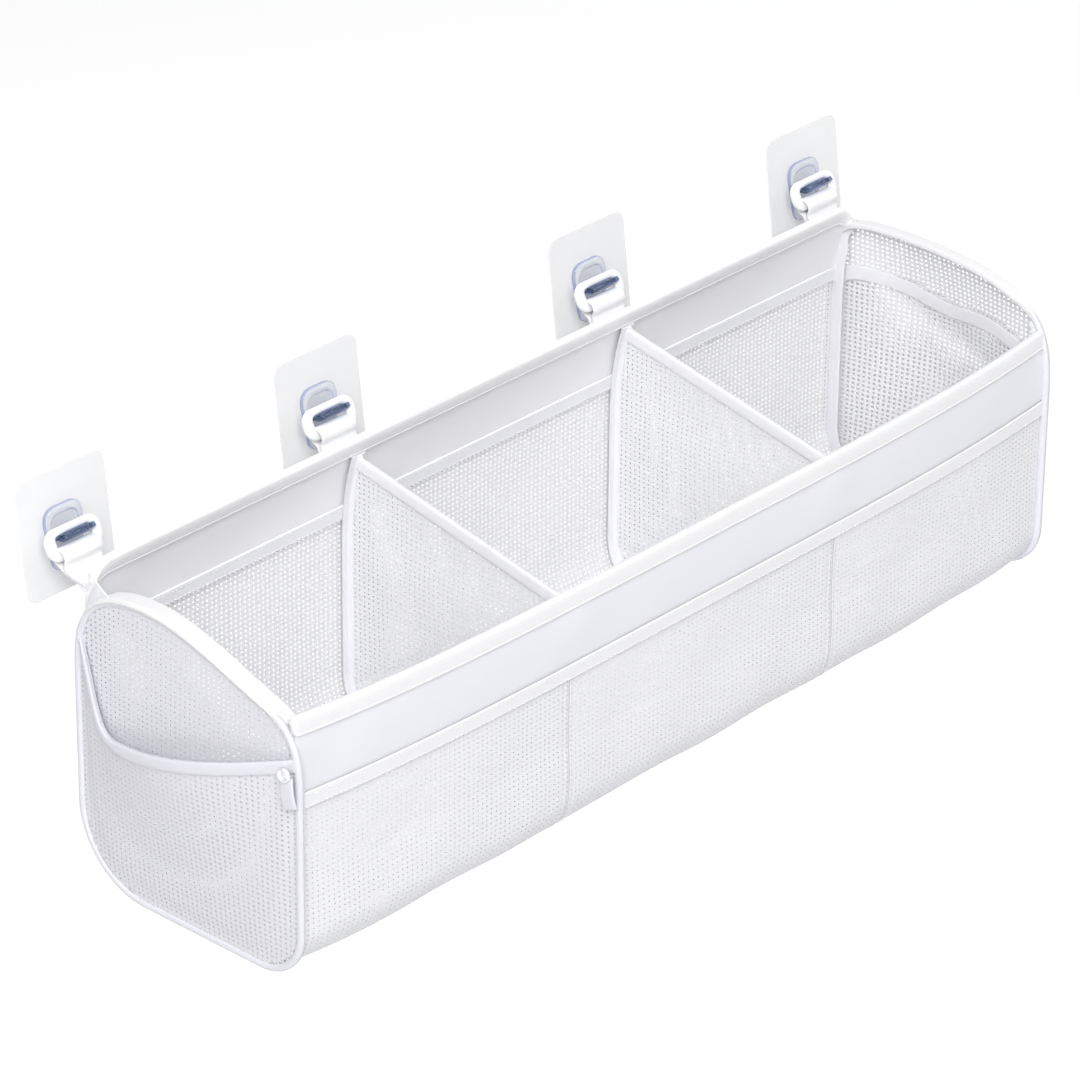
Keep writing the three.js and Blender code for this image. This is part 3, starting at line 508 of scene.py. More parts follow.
def bright_metal():
    """Bright pressed metal, satin, with a faint grain from a very fine noise."""
    material, nodes, links, shader = new_finish("bright_metal", 0.42)
    shader.inputs["Metallic"].default_value = 1
    where = drifting_colour(nodes, links, shader, (0.8, 0.8, 0.83), (0.72, 0.72, 0.76), 300)
    grained(nodes, links, shader, where, 2500, 0.00001, 0.2)
    return material


# Painted light and shade: one cloth in lit and shaded copies. The front net, the left end's panel and pocket,
# the front band and the outer tapes are painted deeper shades against the stronger light outside. The rear
# band, the rear rim, the inner tapes and the right pocket, seen from behind, are painted lighter against the
# shade inside.
NET = knitted_net("knitted_net", (0.875, 0.875, 0.89), (0.85, 0.85, 0.868))
PALE_NET = knitted_net("pale_net", (0.965, 0.965, 0.972), (0.94, 0.94, 0.952))
FRONT_NET = knitted_net("front_net", (0.825, 0.825, 0.845), (0.805, 0.805, 0.828))
POCKET_NET = knitted_net("pocket_net", (0.77, 0.77, 0.805), (0.75, 0.75, 0.788))
BAND = plain_weave("plain_weave", (0.805, 0.808, 0.84), (0.785, 0.788, 0.825))
BAND_PAINTED_LIGHTER = plain_weave("plain_weave_inside", (0.955, 0.955, 0.975), (0.935, 0.935, 0.96))
BINDING = ribbed_tape("white_binding", (0.85, 0.85, 0.855), (0.83, 0.83, 0.836))
REAR_BINDING = ribbed_tape("white_binding_inside", (0.965, 0.965, 0.97), (0.945, 0.945, 0.952))
PIPING = ribbed_tape("lilac_piping", (0.79, 0.79, 0.835), (0.77, 0.77, 0.818))
TAPE = ribbed_tape("lilac_tape", (0.92, 0.92, 0.945), (0.895, 0.895, 0.925))
WEBBING = webbing_weave()
MOULDED = moulded_white()
CLEAR = clear_plate()
CLEAR_DEEP = clear_throat()
FILM = pale_film()
METAL = bright_metal()
print("finishes", len(bpy.data.materials))

# %% [markdown]
# All pieces share one way into Blender: arrays of points and faces go in with foreach_set, which is quick
# even for a net of thousands of holes. A closed shell is turned so that it faces out, by the sign of the
# volume it closes.

# %% Mesh helpers
SLIVER = 1e-11
CLOTH_CREASE = 60


def face_areas(points, quads):
    """Area of each quad: half the length of the cross product of its two diagonals."""
    a, b, c, d = (points[quads[:, k]] for k in range(4))
    return np.linalg.norm(np.cross(c - a, d - b), axis=1) / 2


def closed_volume(points, quads):
    """Volume that quads close: a sixth of the sum of the triple products of their two triangles."""
    a, b, c, d = (points[quads[:, k]] for k in range(4))
    return ((a * np.cross(b, c)).sum() + (a * np.cross(c, d)).sum()) / 6


def add_piece(name, points, quads, finish, body, crease, uv=None, stands_for=()):
    """A named object from points in metres and quads, with a UV map in metres, riding on a body.
    Edges that turn by more than crease degrees stay sharp, and slivers of faces are dropped."""
    quads = quads[face_areas(points, quads) > SLIVER]
    if closed_volume(points - points.mean(0), quads) < 0:
        quads = quads[:, ::-1]
    mesh = bpy.data.meshes.new(name)
    mesh.vertices.add(len(points))
    mesh.vertices.foreach_set("co", points.astype(np.float32).ravel())
    mesh.loops.add(quads.size)
    mesh.loops.foreach_set("vertex_index", quads.astype(np.int32).ravel())
    mesh.polygons.add(len(quads))
    mesh.polygons.foreach_set("loop_start", np.arange(0, quads.size, 4, dtype=np.int32))
    mesh.polygons.foreach_set("use_smooth", np.ones(len(quads), bool))
    if uv is not None:
        layer = mesh.uv_layers.new(name="cloth")
        layer.data.foreach_set("uv", uv[quads.ravel()].astype(np.float32).ravel())
    mesh.update(calc_edges=True)
    mesh.validate()
    mesh.set_sharp_from_angle(angle=math.radians(crease))
    mesh.materials.append(finish)
    piece = bpy.data.objects.new(name, mesh)
    bpy.context.scene.collection.objects.link(piece)
    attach(piece, body)
    if stands_for:
        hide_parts(*stands_for)
    print(name, len(points), "points", len(quads), "faces")
    return piece


def carried(sections, ring=False):
    """Points and quads of a closed section carried along a path: sections has one row for each station.
    Its two ends are zipped shut from one side to the other, or joined where the path is a ring."""
    rows, columns = sections.shape[:2]
    i = np.arange(rows if ring else rows - 1)[:, None]
    j = np.arange(columns)[None]
    a = i * columns + j
    b = i * columns + (j + 1) % columns
    up = ((i + 1) % rows - i) * columns
    quads = np.stack([a, b, b + up, a + up], -1).reshape(-1, 4)
    if not ring:
        k = np.arange(columns // 2 - 1)
        lid = np.stack([columns - 1 - k, columns - 2 - k, k + 1, k], -1)
        quads = np.concatenate([quads, lid, lid[:, ::-1] + (rows - 1) * columns])
    return sections.reshape(-1, sections.shape[-1]), quads


RIDGE_HEIGHT = 0.12


def strip_section(start, stop, face, back, count, ridges=0, bead=0.0):
    """A flat strip's outline in (across, depth): a face with fine ridges, the arches of a sine, and a bead
    along its first edge, a narrow bell, and a plain back."""
    t = np.linspace(0, 1, count)
    side = np.sign(face - back)
    lift = RIDGE_HEIGHT * np.abs(np.sin(math.pi * ridges * t)) + bead * bell(t, 0.06, 0.045)
    edge = np.clip(8 * np.minimum(t, 1 - t), 0, 1) ** 0.5
    top = back + (face - back) * (0.35 + 0.65 * edge) + side * lift * edge
    across = start + (stop - start) * t
    low = back + (face - back) * 0.2 * (1 - edge)
    return np.concatenate([np.stack([across, top], -1), np.stack([across, low], -1)[::-1]])


def turns(count):
    """Evenly spaced angles round a circle, the first one half a step on."""
    return (np.arange(count) + 0.5) * 2 * math.pi / count


def oval_section(count, half_height, half_width, square):
    """A rounded outline (height, across): cosine and sine, each raised to a power that squares it off."""
    turn = turns(count)
    power = lambda v: np.sign(v) * np.abs(v) ** square
    return np.stack([half_height * power(np.cos(turn)), half_width * power(np.sin(turn))], -1)


def joined(x, yz):
    """Points from (y, z) and an x for each. The x may also be one row or one column of values."""
    return np.concatenate([np.broadcast_to(x, yz.shape[:-1])[..., None], yz], -1)


def section_uv(sections_mm, section):
    """A UV map in metres: u along the path, v round the section, both as distances."""
    u = travelled(sections_mm.mean(1))
    v = travelled(section)
    return MM * np.stack(np.broadcast_arrays(u[:, None], v[None]), -1).reshape(-1, 2)


def swept_piece(name, sections_mm, section, finish, stands_for=(), ring=False):
    """A basket piece from sections in basket millimetres, open-ended or joined to itself as a ring."""
    points, quads = carried(hung(sections_mm), ring)
    uv = section_uv(sections_mm, section)
    return add_piece(name, points, quads, finish, "basket", CLOTH_CREASE, uv, stands_for)


# %% [markdown]
# The net is a square knit with small round holes. A picture of holes on a plain sheet would be quick, but
# it would look flat from the side, so each hole is real: one cell has eight points on its border and eight
# round its hole. The yarn is thickest at the border, on both faces, and thin at the hole's edge, which is
# kept sharp so that each face is shaded by itself.

# %% Net cells
NET_PITCH = (3.4, 2.9)
KNOT_HEIGHT = 0.22
YARN_HEIGHT = 0.16
HOLE_DRIFT = 0.08
HOLE_CREASE = 100
CELL = np.array([[0, 0], [1, 0], [2, 0], [2, 1], [2, 2], [1, 2], [0, 2], [0, 1]])
hand = np.random.default_rng(11)


def netting(name, span_u, span_v, place, hole_share, finish, inside=None, pull=None, stands_for=()):
    """A closed net: cells on a grid in (u, v), kept where inside says so, their points pulled to the panel's
    outline. place(u, v, height) gives basket points, with height off the net's middle. hole_share is a
    hole's width as a part of its cell's, and every hole drifts a little from its cell's middle by chance."""
    (u0, u1), (v0, v1) = span_u, span_v
    columns, rows = round((u1 - u0) / NET_PITCH[0]), round((v1 - v0) / NET_PITCH[1])
    a, b = (u1 - u0) / columns, (v1 - v0) / rows
    i, j = (g.ravel() for g in np.meshgrid(np.arange(columns), np.arange(rows), indexing="ij"))
    cu, cv = u0 + (i + 0.5) * a, v0 + (j + 0.5) * b
    if inside is not None:
        kept = inside(cu, cv)
        i, j, cu, cv = i[kept], j[kept], cu[kept], cv[kept]
    half = 2 * rows + 1
    ids = (2 * i[:, None] + CELL[:, 0]) * half + 2 * j[:, None] + CELL[:, 1]
    used, knot = np.unique(ids, return_inverse=True)
    knot = knot.reshape(ids.shape)
    ku, kv = u0 + used // half * a / 2, v0 + used % half * b / 2
    at_corner = (used // half % 2 == 0) & (used % half % 2 == 0)
    crest = np.where(at_corner, KNOT_HEIGHT, YARN_HEIGHT)
    way = unit(CELL - 1)
    loose = hand.normal(0, HOLE_DRIFT, (2, len(cu), 1))
    hu = cu[:, None] + loose[0] + hole_share * a / 2 * way[:, 0]
    hv = cv[:, None] + loose[1] + hole_share * b / 2 * way[:, 1]
    u = np.concatenate([ku, ku, hu.ravel()])
    v = np.concatenate([kv, kv, hv.ravel()])
    height = np.concatenate([crest, -crest, np.zeros(hu.size)])
    if pull is not None:
        u, v = pull(u, v)
    count = len(used)
    hole = 2 * count + np.arange(hu.size).reshape(hu.shape)
    turn = lambda g: np.roll(g, -1, axis=1)
    top = np.stack([knot, turn(knot), turn(hole), hole], -1).reshape(-1, 4)
    low = np.stack([hole, turn(hole), turn(knot) + count, knot + count], -1).reshape(-1, 4)
    edge_from, edge_to = knot.ravel(), turn(knot).ravel()
    border = ~np.isin(edge_from * count + edge_to, edge_to * count + edge_from)
    f, t = edge_from[border], edge_to[border]
    rim = np.stack([t, f, f + count, t + count], -1)
    uv = MM * np.stack([u, v], -1)
    points = hung(place(u, v, height))
    quads = np.concatenate([top, low, rim])
    return add_piece(name, points, quads, finish, "basket", HOLE_CREASE, uv, stands_for)


# %% [markdown]
# The shell is one length of net that runs down the rear, along the bottom and up the front. It is cut into
# six fields here so that no mesh grows too large. The cuts lie under the dividers' seams and along the
# bottom, nearer to the front. Soft shallow waves keep the net from looking like a stamped plate.

# %% Shell of net
BAND_HEIGHT = 43.0
DIVIDER_X = 107.0
NET_EDGE_X = HALF - 0.4
NET_LAP = 3
NET_DEPTH = 0.6
CUT_TO_FRONT = 38
NET_FROM = BAND_HEIGHT - NET_LAP
NET_TO = WALL_LENGTH - BAND_HEIGHT + NET_LAP
NET_MIDDLE = (NET_FROM + NET_TO) / 2 + CUT_TO_FRONT


def shell_wave(x, s):
    """Shallow waves of the slack net, nothing at its edges: three crossing sines, faded by the distance
    to each edge."""
    fade = smooth(s, NET_FROM, NET_FROM + 45) * smooth(NET_TO - s, 0, 45)
    side = np.minimum(np.abs(np.abs(x) - DIVIDER_X), HALF - np.abs(x))
    fade = fade * smooth(side, 0, 40)
    waves = 0.4 * np.sin(x / 23 + s / 31) + 0.25 * np.sin(x / 13 - s / 19 + 1) + 0.3 * np.sin(s / 27 + 2)
    return fade * waves


def on_shell(x, s, height):
    """A point of the shell: the long wall at the net's middle, waved, with height outwards."""
    return wall(s, NET_DEPTH - height + shell_wave(x, s), x)


FIELDS = (
    ("left", -NET_EDGE_X, -DIVIDER_X),
    ("middle", -DIVIDER_X, DIVIDER_X),
    ("right", DIVIDER_X, NET_EDGE_X),
)
# The front halves take the net painted deeper for the stronger light outside, and the rear halves a lighter
# one for the shade inside.
HALVES = (
    ("rear", NET_FROM, NET_MIDDLE, 0.44, NET),
    ("front", NET_MIDDLE, NET_TO, 0.27, FRONT_NET),
)
for field, x_from, x_to in FIELDS:
    for part, s_from, s_to, holes, finish in HALVES:
        net = netting(f"shell_net_{field}_{part}", (x_from, x_to), (s_from, s_to), on_shell, holes, finish,
                      stands_for=["wrap_net"])

# %% [markdown]
# Above the net, the rear and the front each carry a band of plain cloth. It is stiffer than the net,
# and shows only long soft creases that run downwards, most of them near the loops and the corners.

# %% Bands of plain cloth
CORNER_CREASE_X = 285


def band_crease(x, s):
    """Depth of soft creases: slanted sines, stronger near the loops at the dividers and the ends."""
    far = np.abs(x)
    near = bell(far, DIVIDER_X, 40) + bell(far, CORNER_CREASE_X, 45)
    fade = np.sin(np.clip((s - 4) / (BAND_HEIGHT - 4), 0, 1) * math.pi) ** 0.7
    folds = np.sin((x + 0.7 * s) / 11) + 0.7 * np.sin((x - 0.5 * s) / 6.5 + 2) + 0.5 * np.sin(x / 37 + s / 15)
    return fade * (0.1 + 0.22 * near) * folds


# %% [markdown]
# Tapes cover the seams where a band meets the net: inside at the rear, outside at the front.
# They are narrow ribbons with fine ribs along their length, and their upper edge stands a little proud.

# %% Bands and seam tapes
BAND_EDGE_X = 299.2
TAPE_EDGE_X = 298.4
TAPE_HEIGHT = 9.5


def add_strip(name, stands_for, section, x_edge, finish, from_front, stations,
              crease_depth=None, end=0):
    """A long strip: a section in (distance from the rim, depth) carried along x on the rear or the front
    wall. Over the length end it draws in to its middle like a quarter of an ellipse."""
    x = np.linspace(-x_edge, x_edge, stations)[:, None]
    full = 1 + 0 * x
    if end:
        tips = x_edge - end * np.cos(np.linspace(0, math.pi / 2, 9))
        x = np.concatenate([-tips[::-1], np.linspace(-tips[0], tips[0], stations)[1:-1], tips])[:, None]
        full = np.sqrt(1 - (np.clip(np.abs(x) - x_edge + end, 0, 0.99 * end) / end) ** 2)
    middle = section.mean(0)
    across, depth = (middle[k] + full * (section[:, k] - middle[k])[None] for k in (0, 1))
    if crease_depth is not None:
        depth = depth + crease_depth(x, across)
    s = WALL_LENGTH - across if from_front else across
    return swept_piece(name, wall(s, depth, x), section, finish, [stands_for])


band_section = strip_section(3.5, BAND_HEIGHT + 1.2, 0.0, 1.2, 26)
# The rear band is painted lighter against the shade inside, and the front band deeper against the light
# outside.
for label, from_front, finish in (("rear", False, BAND_PAINTED_LIGHTER), ("front", True, BAND)):
    band = add_strip(f"{label}_band_cloth", f"{label}_band", band_section, BAND_EDGE_X, finish,
                     from_front, 241, band_crease)
# The rear tape is painted lighter against the shade inside, and the front one deeper against the light
# outside.
TAPE_LOOKS = (
    ("rear", False, TAPE, 2.3, 1.3),
    ("front", True, BINDING, -1.1, -0.1),
)
tape_top = BAND_HEIGHT - 0.5
for label, from_front, finish, face, back in TAPE_LOOKS:
    tape_section = strip_section(tape_top, tape_top + TAPE_HEIGHT, face, back, 41, ridges=7, bead=0.3)
    add_strip(f"{label}_seam_tape", f"{label}_band_tape", tape_section, TAPE_EDGE_X, finish,
              from_front, 181)

# %% [markdown]
# Along each rim a tape is folded over a hidden rod. The fold is round at the top, draws in below the rod
# and ends in two flaps that are sewn down, each with a thin proud edge.

# %% Rims
RIM_HEIGHT = 10.8
RIM_R = 2.55
RIM_WAIST = 1.85
# The rear rim's tape is painted lighter against the shade inside, and the front rim's deeper against the
# light outside.
RIM_LOOKS = (
    ("rear", False, 299.9, REAR_BINDING, 261, 0),
    ("front", True, 301.0, BINDING, 201, 2.6),
)


def rim_section():
    """Half outline of a folded tape, mirrored: distance from the fold, and half width. It has a round top,
    a waist that a bell widens towards the rod, and a stitched groove and a lip, two narrow bells."""
    down = RIM_HEIGHT * np.linspace(0, 1, 40) ** 1.5
    rod = np.sqrt(np.clip(RIM_R**2 - (down - RIM_R) ** 2, 0, None))
    waist = RIM_WAIST + 0.7 * bell(down, RIM_R, 4.6)
    half = np.where(down < RIM_R, rod, waist)
    half = half + 0.16 * bell(down, 10.3, 0.45) - 0.14 * bell(down, 8.9, 0.35)
    half = np.where(down > 10.5, half * 0.8, half)
    outside, inside = NET_DEPTH - half, NET_DEPTH + half
    return np.concatenate([np.stack([down, outside], -1), np.stack([down, inside], -1)[::-1]])


rim_outline = rim_section()
for label, from_front, x_edge, finish, stations, end in RIM_LOOKS:
    fold = add_strip(f"{label}_rim_fold", f"{label}_rim_binding", rim_outline, x_edge, finish,
                     from_front, stations, end=end)
    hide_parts(f"{label}_rim_rod")

# %% [markdown]
# Each end is a panel of net inside a hoop. A cord in a tape, the piping, runs all the way round it.
# Over the top, a flat tape with a spring wire in it covers the piping, its width along the basket.
# The piping is a small round section carried round the hoop, thinner and deeper under the arch.
# The arch is a flat section that widens from the rear, and the right one narrows again at the front.

# %% Hoops
ARCH_FRONT_S = 101.0
ARCH_REAR_S = 63.0
ARCH_WIDTH = {LEFT: 10.4, RIGHT: 5.6}
PIPING_R = 2.3
ENDS = (("left", LEFT), ("right", RIGHT))


def under_arch(side, s):
    """One under the arch's tape, zero along the rest of the hoop, with a smooth change at both its ends."""
    s = np.mod(s + HOOP_LENGTH[side] / 2, HOOP_LENGTH[side]) - HOOP_LENGTH[side] / 2
    return smooth(s, -ARCH_REAR_S, 30 - ARCH_REAR_S) * smooth(-s, -ARCH_FRONT_S, 24 - ARCH_FRONT_S)


def add_piping(label, side):
    """A round section carried once round the hoop and joined to itself, thinner and deeper where the arch
    covers it."""
    s = np.linspace(0, HOOP_LENGTH[side], 241)[:-1, None]
    covered = under_arch(side, s)
    oval = oval_section(16, PIPING_R, PIPING_R, 0.92)
    yz = hoop(side, s + 0 * oval[:, 0], (1 - 0.4 * covered) * oval[:, 0] - 1.7 * covered)
    x = side * HALF + (1 - 0.3 * covered) * oval[:, 1]
    points = joined(x, yz)
    swept_piece(f"{label}_piping", points, oval, PIPING, [f"{label}_hoop_piping"], ring=True)


def add_arch(label, side):
    """A flat section with a slightly rounded face, from the piping inwards, carried over the top of the hoop.
    It is narrow where it starts at the rear, and the right one narrows again towards the front rim."""
    s = np.linspace(-ARCH_REAR_S, ARCH_FRONT_S, 120)[:, None]
    section = strip_section(-PIPING_R, ARCH_WIDTH[side], 1.7, -1.6, 21)
    wide = 0.3 + 0.7 * smooth(s, -ARCH_REAR_S, 30 - ARCH_REAR_S)
    if side == RIGHT:
        wide = wide * (0.3 + 0.7 * smooth(-s, -ARCH_FRONT_S, 30 - ARCH_FRONT_S))
    inwards = section[:, 0] * wide
    yz = hoop(side, s + 0 * inwards, section[:, 1] - 0.04 * inwards)
    points = joined(side * (HALF - inwards), yz)
    stands_for = [f"{label}_arch_binding", f"{label}_arch_wire"]
    swept_piece(f"{label}_arch_fold", points, section, BINDING, stands_for)


for label, side in ENDS:
    add_piping(label, side)
    add_arch(label, side)

# %% [markdown]
# The end panels are cut to the hoop. A point is inside when its distance from the panel's middle is less than
# the hoop's own distance in that direction, which works because the hoop has no inward bends.
# The left panel is nearly flat. The right one bellies outwards, with a soft crease down its middle.

# %% End panels
PANEL_MIDDLE = np.array([HALFWAY_Y, 86.0])
PANEL_MARGIN = 0.8
PANEL_INSET = 0.4
PANEL_GRID = ((-158, 2), (-2, 180))
LEFT_BELLY = 2.5
RIGHT_BELLY = 13


def reach_of(outline, middle):
    """A function that gives an outline's distance from its middle in the direction of any point: the
    outline's own distances, interpolated by angle."""
    off = outline - middle
    turn = np.arctan2(off[:, 1], off[:, 0])
    order = np.argsort(turn)
    far = np.linalg.norm(off, axis=1)[order]
    angle = lambda y, z: np.arctan2(z - middle[1], y - middle[0])
    return lambda y, z: np.interp(angle(y, z), turn[order], far, period=2 * math.pi)


def panel_test(outline, middle, margin):
    """(inside, pull) for a panel: cells are kept inside the outline by margin, and points outside it are
    drawn back onto it."""
    reach = reach_of(outline, middle)
    off = lambda y, z: np.hypot(y - middle[0], z - middle[1])
    inside = lambda y, z: off(y, z) < reach(y, z) - margin

    def pull(y, z):
        share = np.minimum(1, reach(y, z) / np.maximum(off(y, z), 1e-9))
        return middle[0] + (y - middle[0]) * share, middle[1] + (z - middle[1]) * share

    return inside, pull


def left_belly(y, z):
    """A shallow dome outwards, zero at the hoop: a product of two sines of the place in the panel."""
    across, up = np.clip(-y / HOOP_DEPTH, 0, 1), np.clip(z / HOOP_HEIGHT, 0, 1)
    return LEFT_BELLY * np.sin(math.pi * across) * np.sin(math.pi * up)


def right_belly(y, z):
    """A deeper dome with a soft crease: the distance to a slanted line lowers it on both sides, as a tent
    falls from its ridge."""
    across, up = np.clip(-y / HOOP_DEPTH, 0, 1), np.clip(z / HOOP_HEIGHT, 0, 1)
    dome = np.sin(math.pi * across) * np.sin(math.pi * up) ** 0.8
    ridge = np.sqrt((y + 66 + 0.35 * (142 - z)) ** 2 + 60) / 60
    return RIGHT_BELLY * dome * np.clip(1.15 - 0.55 * ridge, 0.2, 1)


# The left panel faces out into the light and takes the net painted deeper, and the right panel takes the
# middle one.
PANEL_LOOKS = (
    ("left", LEFT, left_belly, 0.34, POCKET_NET),
    ("right", RIGHT, right_belly, 0.54, NET),
)
panel_tests = {}
for label, side, belly, holes, finish in PANEL_LOOKS:
    outline = hoop(side, np.linspace(0, HOOP_LENGTH[side], 400), np.full(400, -PANEL_INSET))
    panel_tests[side] = panel_test(outline, PANEL_MIDDLE, PANEL_MARGIN)
    on_panel = lambda y, z, height: np.stack([side * (HALF + belly(y, z) + height), y, z], -1)
    panel = netting(f"{label}_panel_net", *PANEL_GRID, on_panel, holes, finish, *panel_tests[side],
                    [f"{label}_end_net"])

# %% [markdown]
# Inside the basket, the edges of shell and end panel are bound together by a tape that follows the hoop.
# It lies against the end panel, a little raised towards its free edge.

# %% Bound seams inside the ends
SEAM_HEIGHT = 10.0
ALONG_PANEL = 0.97
INTO_BASKET = 0.24


def add_bound_seam(label, side):
    """A flat oval carried round the hoop: its width runs inwards along the panel and a little into the
    basket, and it is lower towards both its ends."""
    first, last = ARCH_FRONT_S - 4, HOOP_LENGTH[side] - ARCH_REAR_S + 22
    s = np.linspace(first, last, 170)[:, None]
    oval = oval_section(16, SEAM_HEIGHT / 2, 0.8, 0.6)
    tall = 0.25 + 0.75 * smooth(s, first, first + 26) * smooth(last - s, 0, 20)
    into = 1.4 + tall * (SEAM_HEIGHT / 2 + oval[:, 0])
    in_plane = ALONG_PANEL * into - INTO_BASKET * oval[:, 1]
    across = 1.2 + INTO_BASKET * into + ALONG_PANEL * oval[:, 1]
    yz = hoop(side, s + 0 * in_plane, -in_plane)
    points = joined(side * (HALF - across), yz)
    swept_piece(f"{label}_bound_seam", points, oval, TAPE)


for label, side in ENDS:
    add_bound_seam(label, side)

# %% [markdown]
# A net pocket is sewn to the outside of each end, with a folded tape along its mouth. The left mouth hangs
# open in a swoop, high at the rear and rising again to the front. The right one is drawn nearly straight.

# %% End pockets
POCKET_REAR_Y = -2.9
POCKET_SPAN = 150.2
POCKET_FOOT_Z = 3
POCKET_GRID = ((-158, 2), (-2, 160))


def pocket_share(y):
    """How far across the pocket a point is: 0 at the rear, 1 at the front."""
    return np.clip((POCKET_REAR_Y - y) / POCKET_SPAN, 0, 1)


def left_mouth(y):
    """Height of the left pocket's mouth: a slow rise to the front as a power of the share, and at the rear
    half a bell."""
    q = pocket_share(y)
    return 91.5 + 37.5 * q**1.5 + 50 * bell(q, 0, 0.085)


def right_mouth(y):
    """Height of the right pocket's mouth: nearly straight, with a dip like a bell and a fall at both ends."""
    q = pocket_share(y)
    return 144 - 6 * bell(q, 0.5, 0.16) - 10 * (1 - q) ** 24 - 17 * q**4


# Each pocket has its mouth, its bulge, a power that flattens it near its foot, and the share of its rise
# that it has at the foot already: the right one needs some, to stay outside the bellied panel.
POCKET_SHAPE = {LEFT: (left_mouth, 11, 1.6, 0), RIGHT: (right_mouth, 15, 1, 0.1)}


def pocket_out(side, y, z):
    """How far a pocket stands out: close to the panel at its seams, and fullest at the middle of its mouth,
    by a power of the distance from its sides and a quarter of a sine from foot to mouth."""
    mouth, bulge, foot, start = POCKET_SHAPE[side]
    q = 2 * pocket_share(y) - 1
    rise = np.clip((z - POCKET_FOOT_Z) / np.maximum(mouth(y) - POCKET_FOOT_Z, 1), 0, 1)
    edge = np.clip(1 - q * q, 0, 1)
    clear = 1.3 * smooth(edge * (rise + start), 0, 0.12)
    return HALF + 1.0 + clear + bulge * edge**1.5 * np.sin(math.pi / 2 * rise**foot)


def below_mouth(mouth, y):
    """Unit directions in (y, z), square to a mouth's line and pointing down from it, by the line's slope."""
    slope = np.gradient(mouth(y), y)
    return np.stack([slope, -np.ones_like(y)], -1) / np.hypot(1, slope)[:, None]


def add_pocket(label, side, holes, finish):
    """The pocket's net, kept inside the hoop and below its mouth, and the folded tape along the mouth."""
    mouth = POCKET_SHAPE[side][0]
    panel_inside, panel_pull = panel_tests[side]
    inside = lambda y, z: panel_inside(y, z) & (z < mouth(y) - 2.5)

    def pull(y, z):
        y, z = panel_pull(y, z)
        return y, np.minimum(z, mouth(y) - 1)

    place = lambda y, z, h: np.stack([side * (pocket_out(side, y, z) + h), y, z], -1)
    net = netting(f"{label}_pocket_cloth", *POCKET_GRID, place, holes, finish, inside, pull,
                  [f"{label}_pocket_net"])
    y = np.concatenate([np.linspace(-2.2, -40, 60), np.linspace(-41, -154.0, 90)])
    oval = oval_section(18, 3.6, 1.75, 0.6)
    into = below_mouth(mouth, y)
    tall = 0.5 + 0.5 * smooth(pocket_share(y), 0.05, 0.3)[:, None]
    middle = np.stack([y, mouth(y)], -1) + 3.5 * tall * into
    yz = middle[:, None] - (tall * oval[:, 0])[..., None] * into[:, None]
    yz[..., 0] = np.clip(yz[..., 0], -154.5, -1.5)
    out = pocket_out(side, yz[..., 0], yz[..., 1]) + 0.3 + oval[:, 1]
    points = joined(side * out, yz)
    swept_piece(f"{label}_pocket_fold", points, oval, PIPING, [f"{label}_pocket_binding"])


# The left pocket faces out into the light and takes the net painted deeper. The right one is seen from
# behind, in shade, and takes a net painted lighter.
add_pocket("left", LEFT, 0.26, POCKET_NET)
add_pocket("right", RIGHT, 0.64, PALE_NET)

# %% [markdown]
# At the right end a flat tape lies on the panel's inner face, along the line where the pocket's mouth is.
# It is a thin rounded section that follows the mouth's curve and the panel's own belly.

# %% Tape inside the right end


def add_inner_tape():
    """A flat section carried along the right mouth's line, its width square to that line, on the bellied
    panel's inner face."""
    y = np.linspace(-5, -149, 120)
    oval = oval_section(18, 4.6, 0.5, 0.5)
    yz = np.stack([y, right_mouth(y)], -1)[:, None] - oval[:, :1] * below_mouth(right_mouth, y)[:, None]
    x = HALF + right_belly(yz[..., 0], yz[..., 1]) - 1.0 + oval[:, 1]
    swept_piece("right_inner_tape", joined(x, yz), oval, TAPE)


add_inner_tape()

# %% [markdown]
# Two nets divide the basket. Each has a folded tape along its slanting top edge, and a tape with a raised
# middle sews it to the long wall all the way round.

# %% Dividers
DIVIDERS = ((1, -DIVIDER_X), (2, DIVIDER_X))
DIVIDER_MIDDLE = np.array([-80.0, 80.0])
DIVIDER_SWAY = 1.6
DIVIDER_GRID = ((-164, 0), (0, 180))
SEAM_DEPTH = 2.6
SEAM_HALF = 5
SEAM_RIDGE = 2.6
divider_rear = wall(11.3, 3.7, DIVIDER_X)[1:]
divider_front = wall(WALL_LENGTH - 2.0, 3.7, DIVIDER_X)[1:]


def add_divider_net(number, x):
    """A net inside the long wall and below the slanting top edge. It sways a little sideways, by a product
    of two sines."""
    s = np.linspace(9, WALL_LENGTH - 3, 300)
    top_edge = np.linspace(divider_front, divider_rear, 80)[1:-1]
    edge = np.concatenate([wall(s, 3.0, x)[:, 1:], top_edge])
    inside, pull = panel_test(edge, DIVIDER_MIDDLE, 1.0)
    sway = lambda y, z: DIVIDER_SWAY * np.sin(math.pi * np.clip(-y / HOOP_DEPTH, 0, 1)) * np.sin(z / 24)
    place = lambda y, z, h: np.stack([x + sway(y, z) * smooth(150 - z, 0, 40) + h, y, z], -1)
    net = netting(f"divider_{number}_cloth", *DIVIDER_GRID, place, 0.38, NET, inside, pull,
                  [f"divider_net_{number}"])


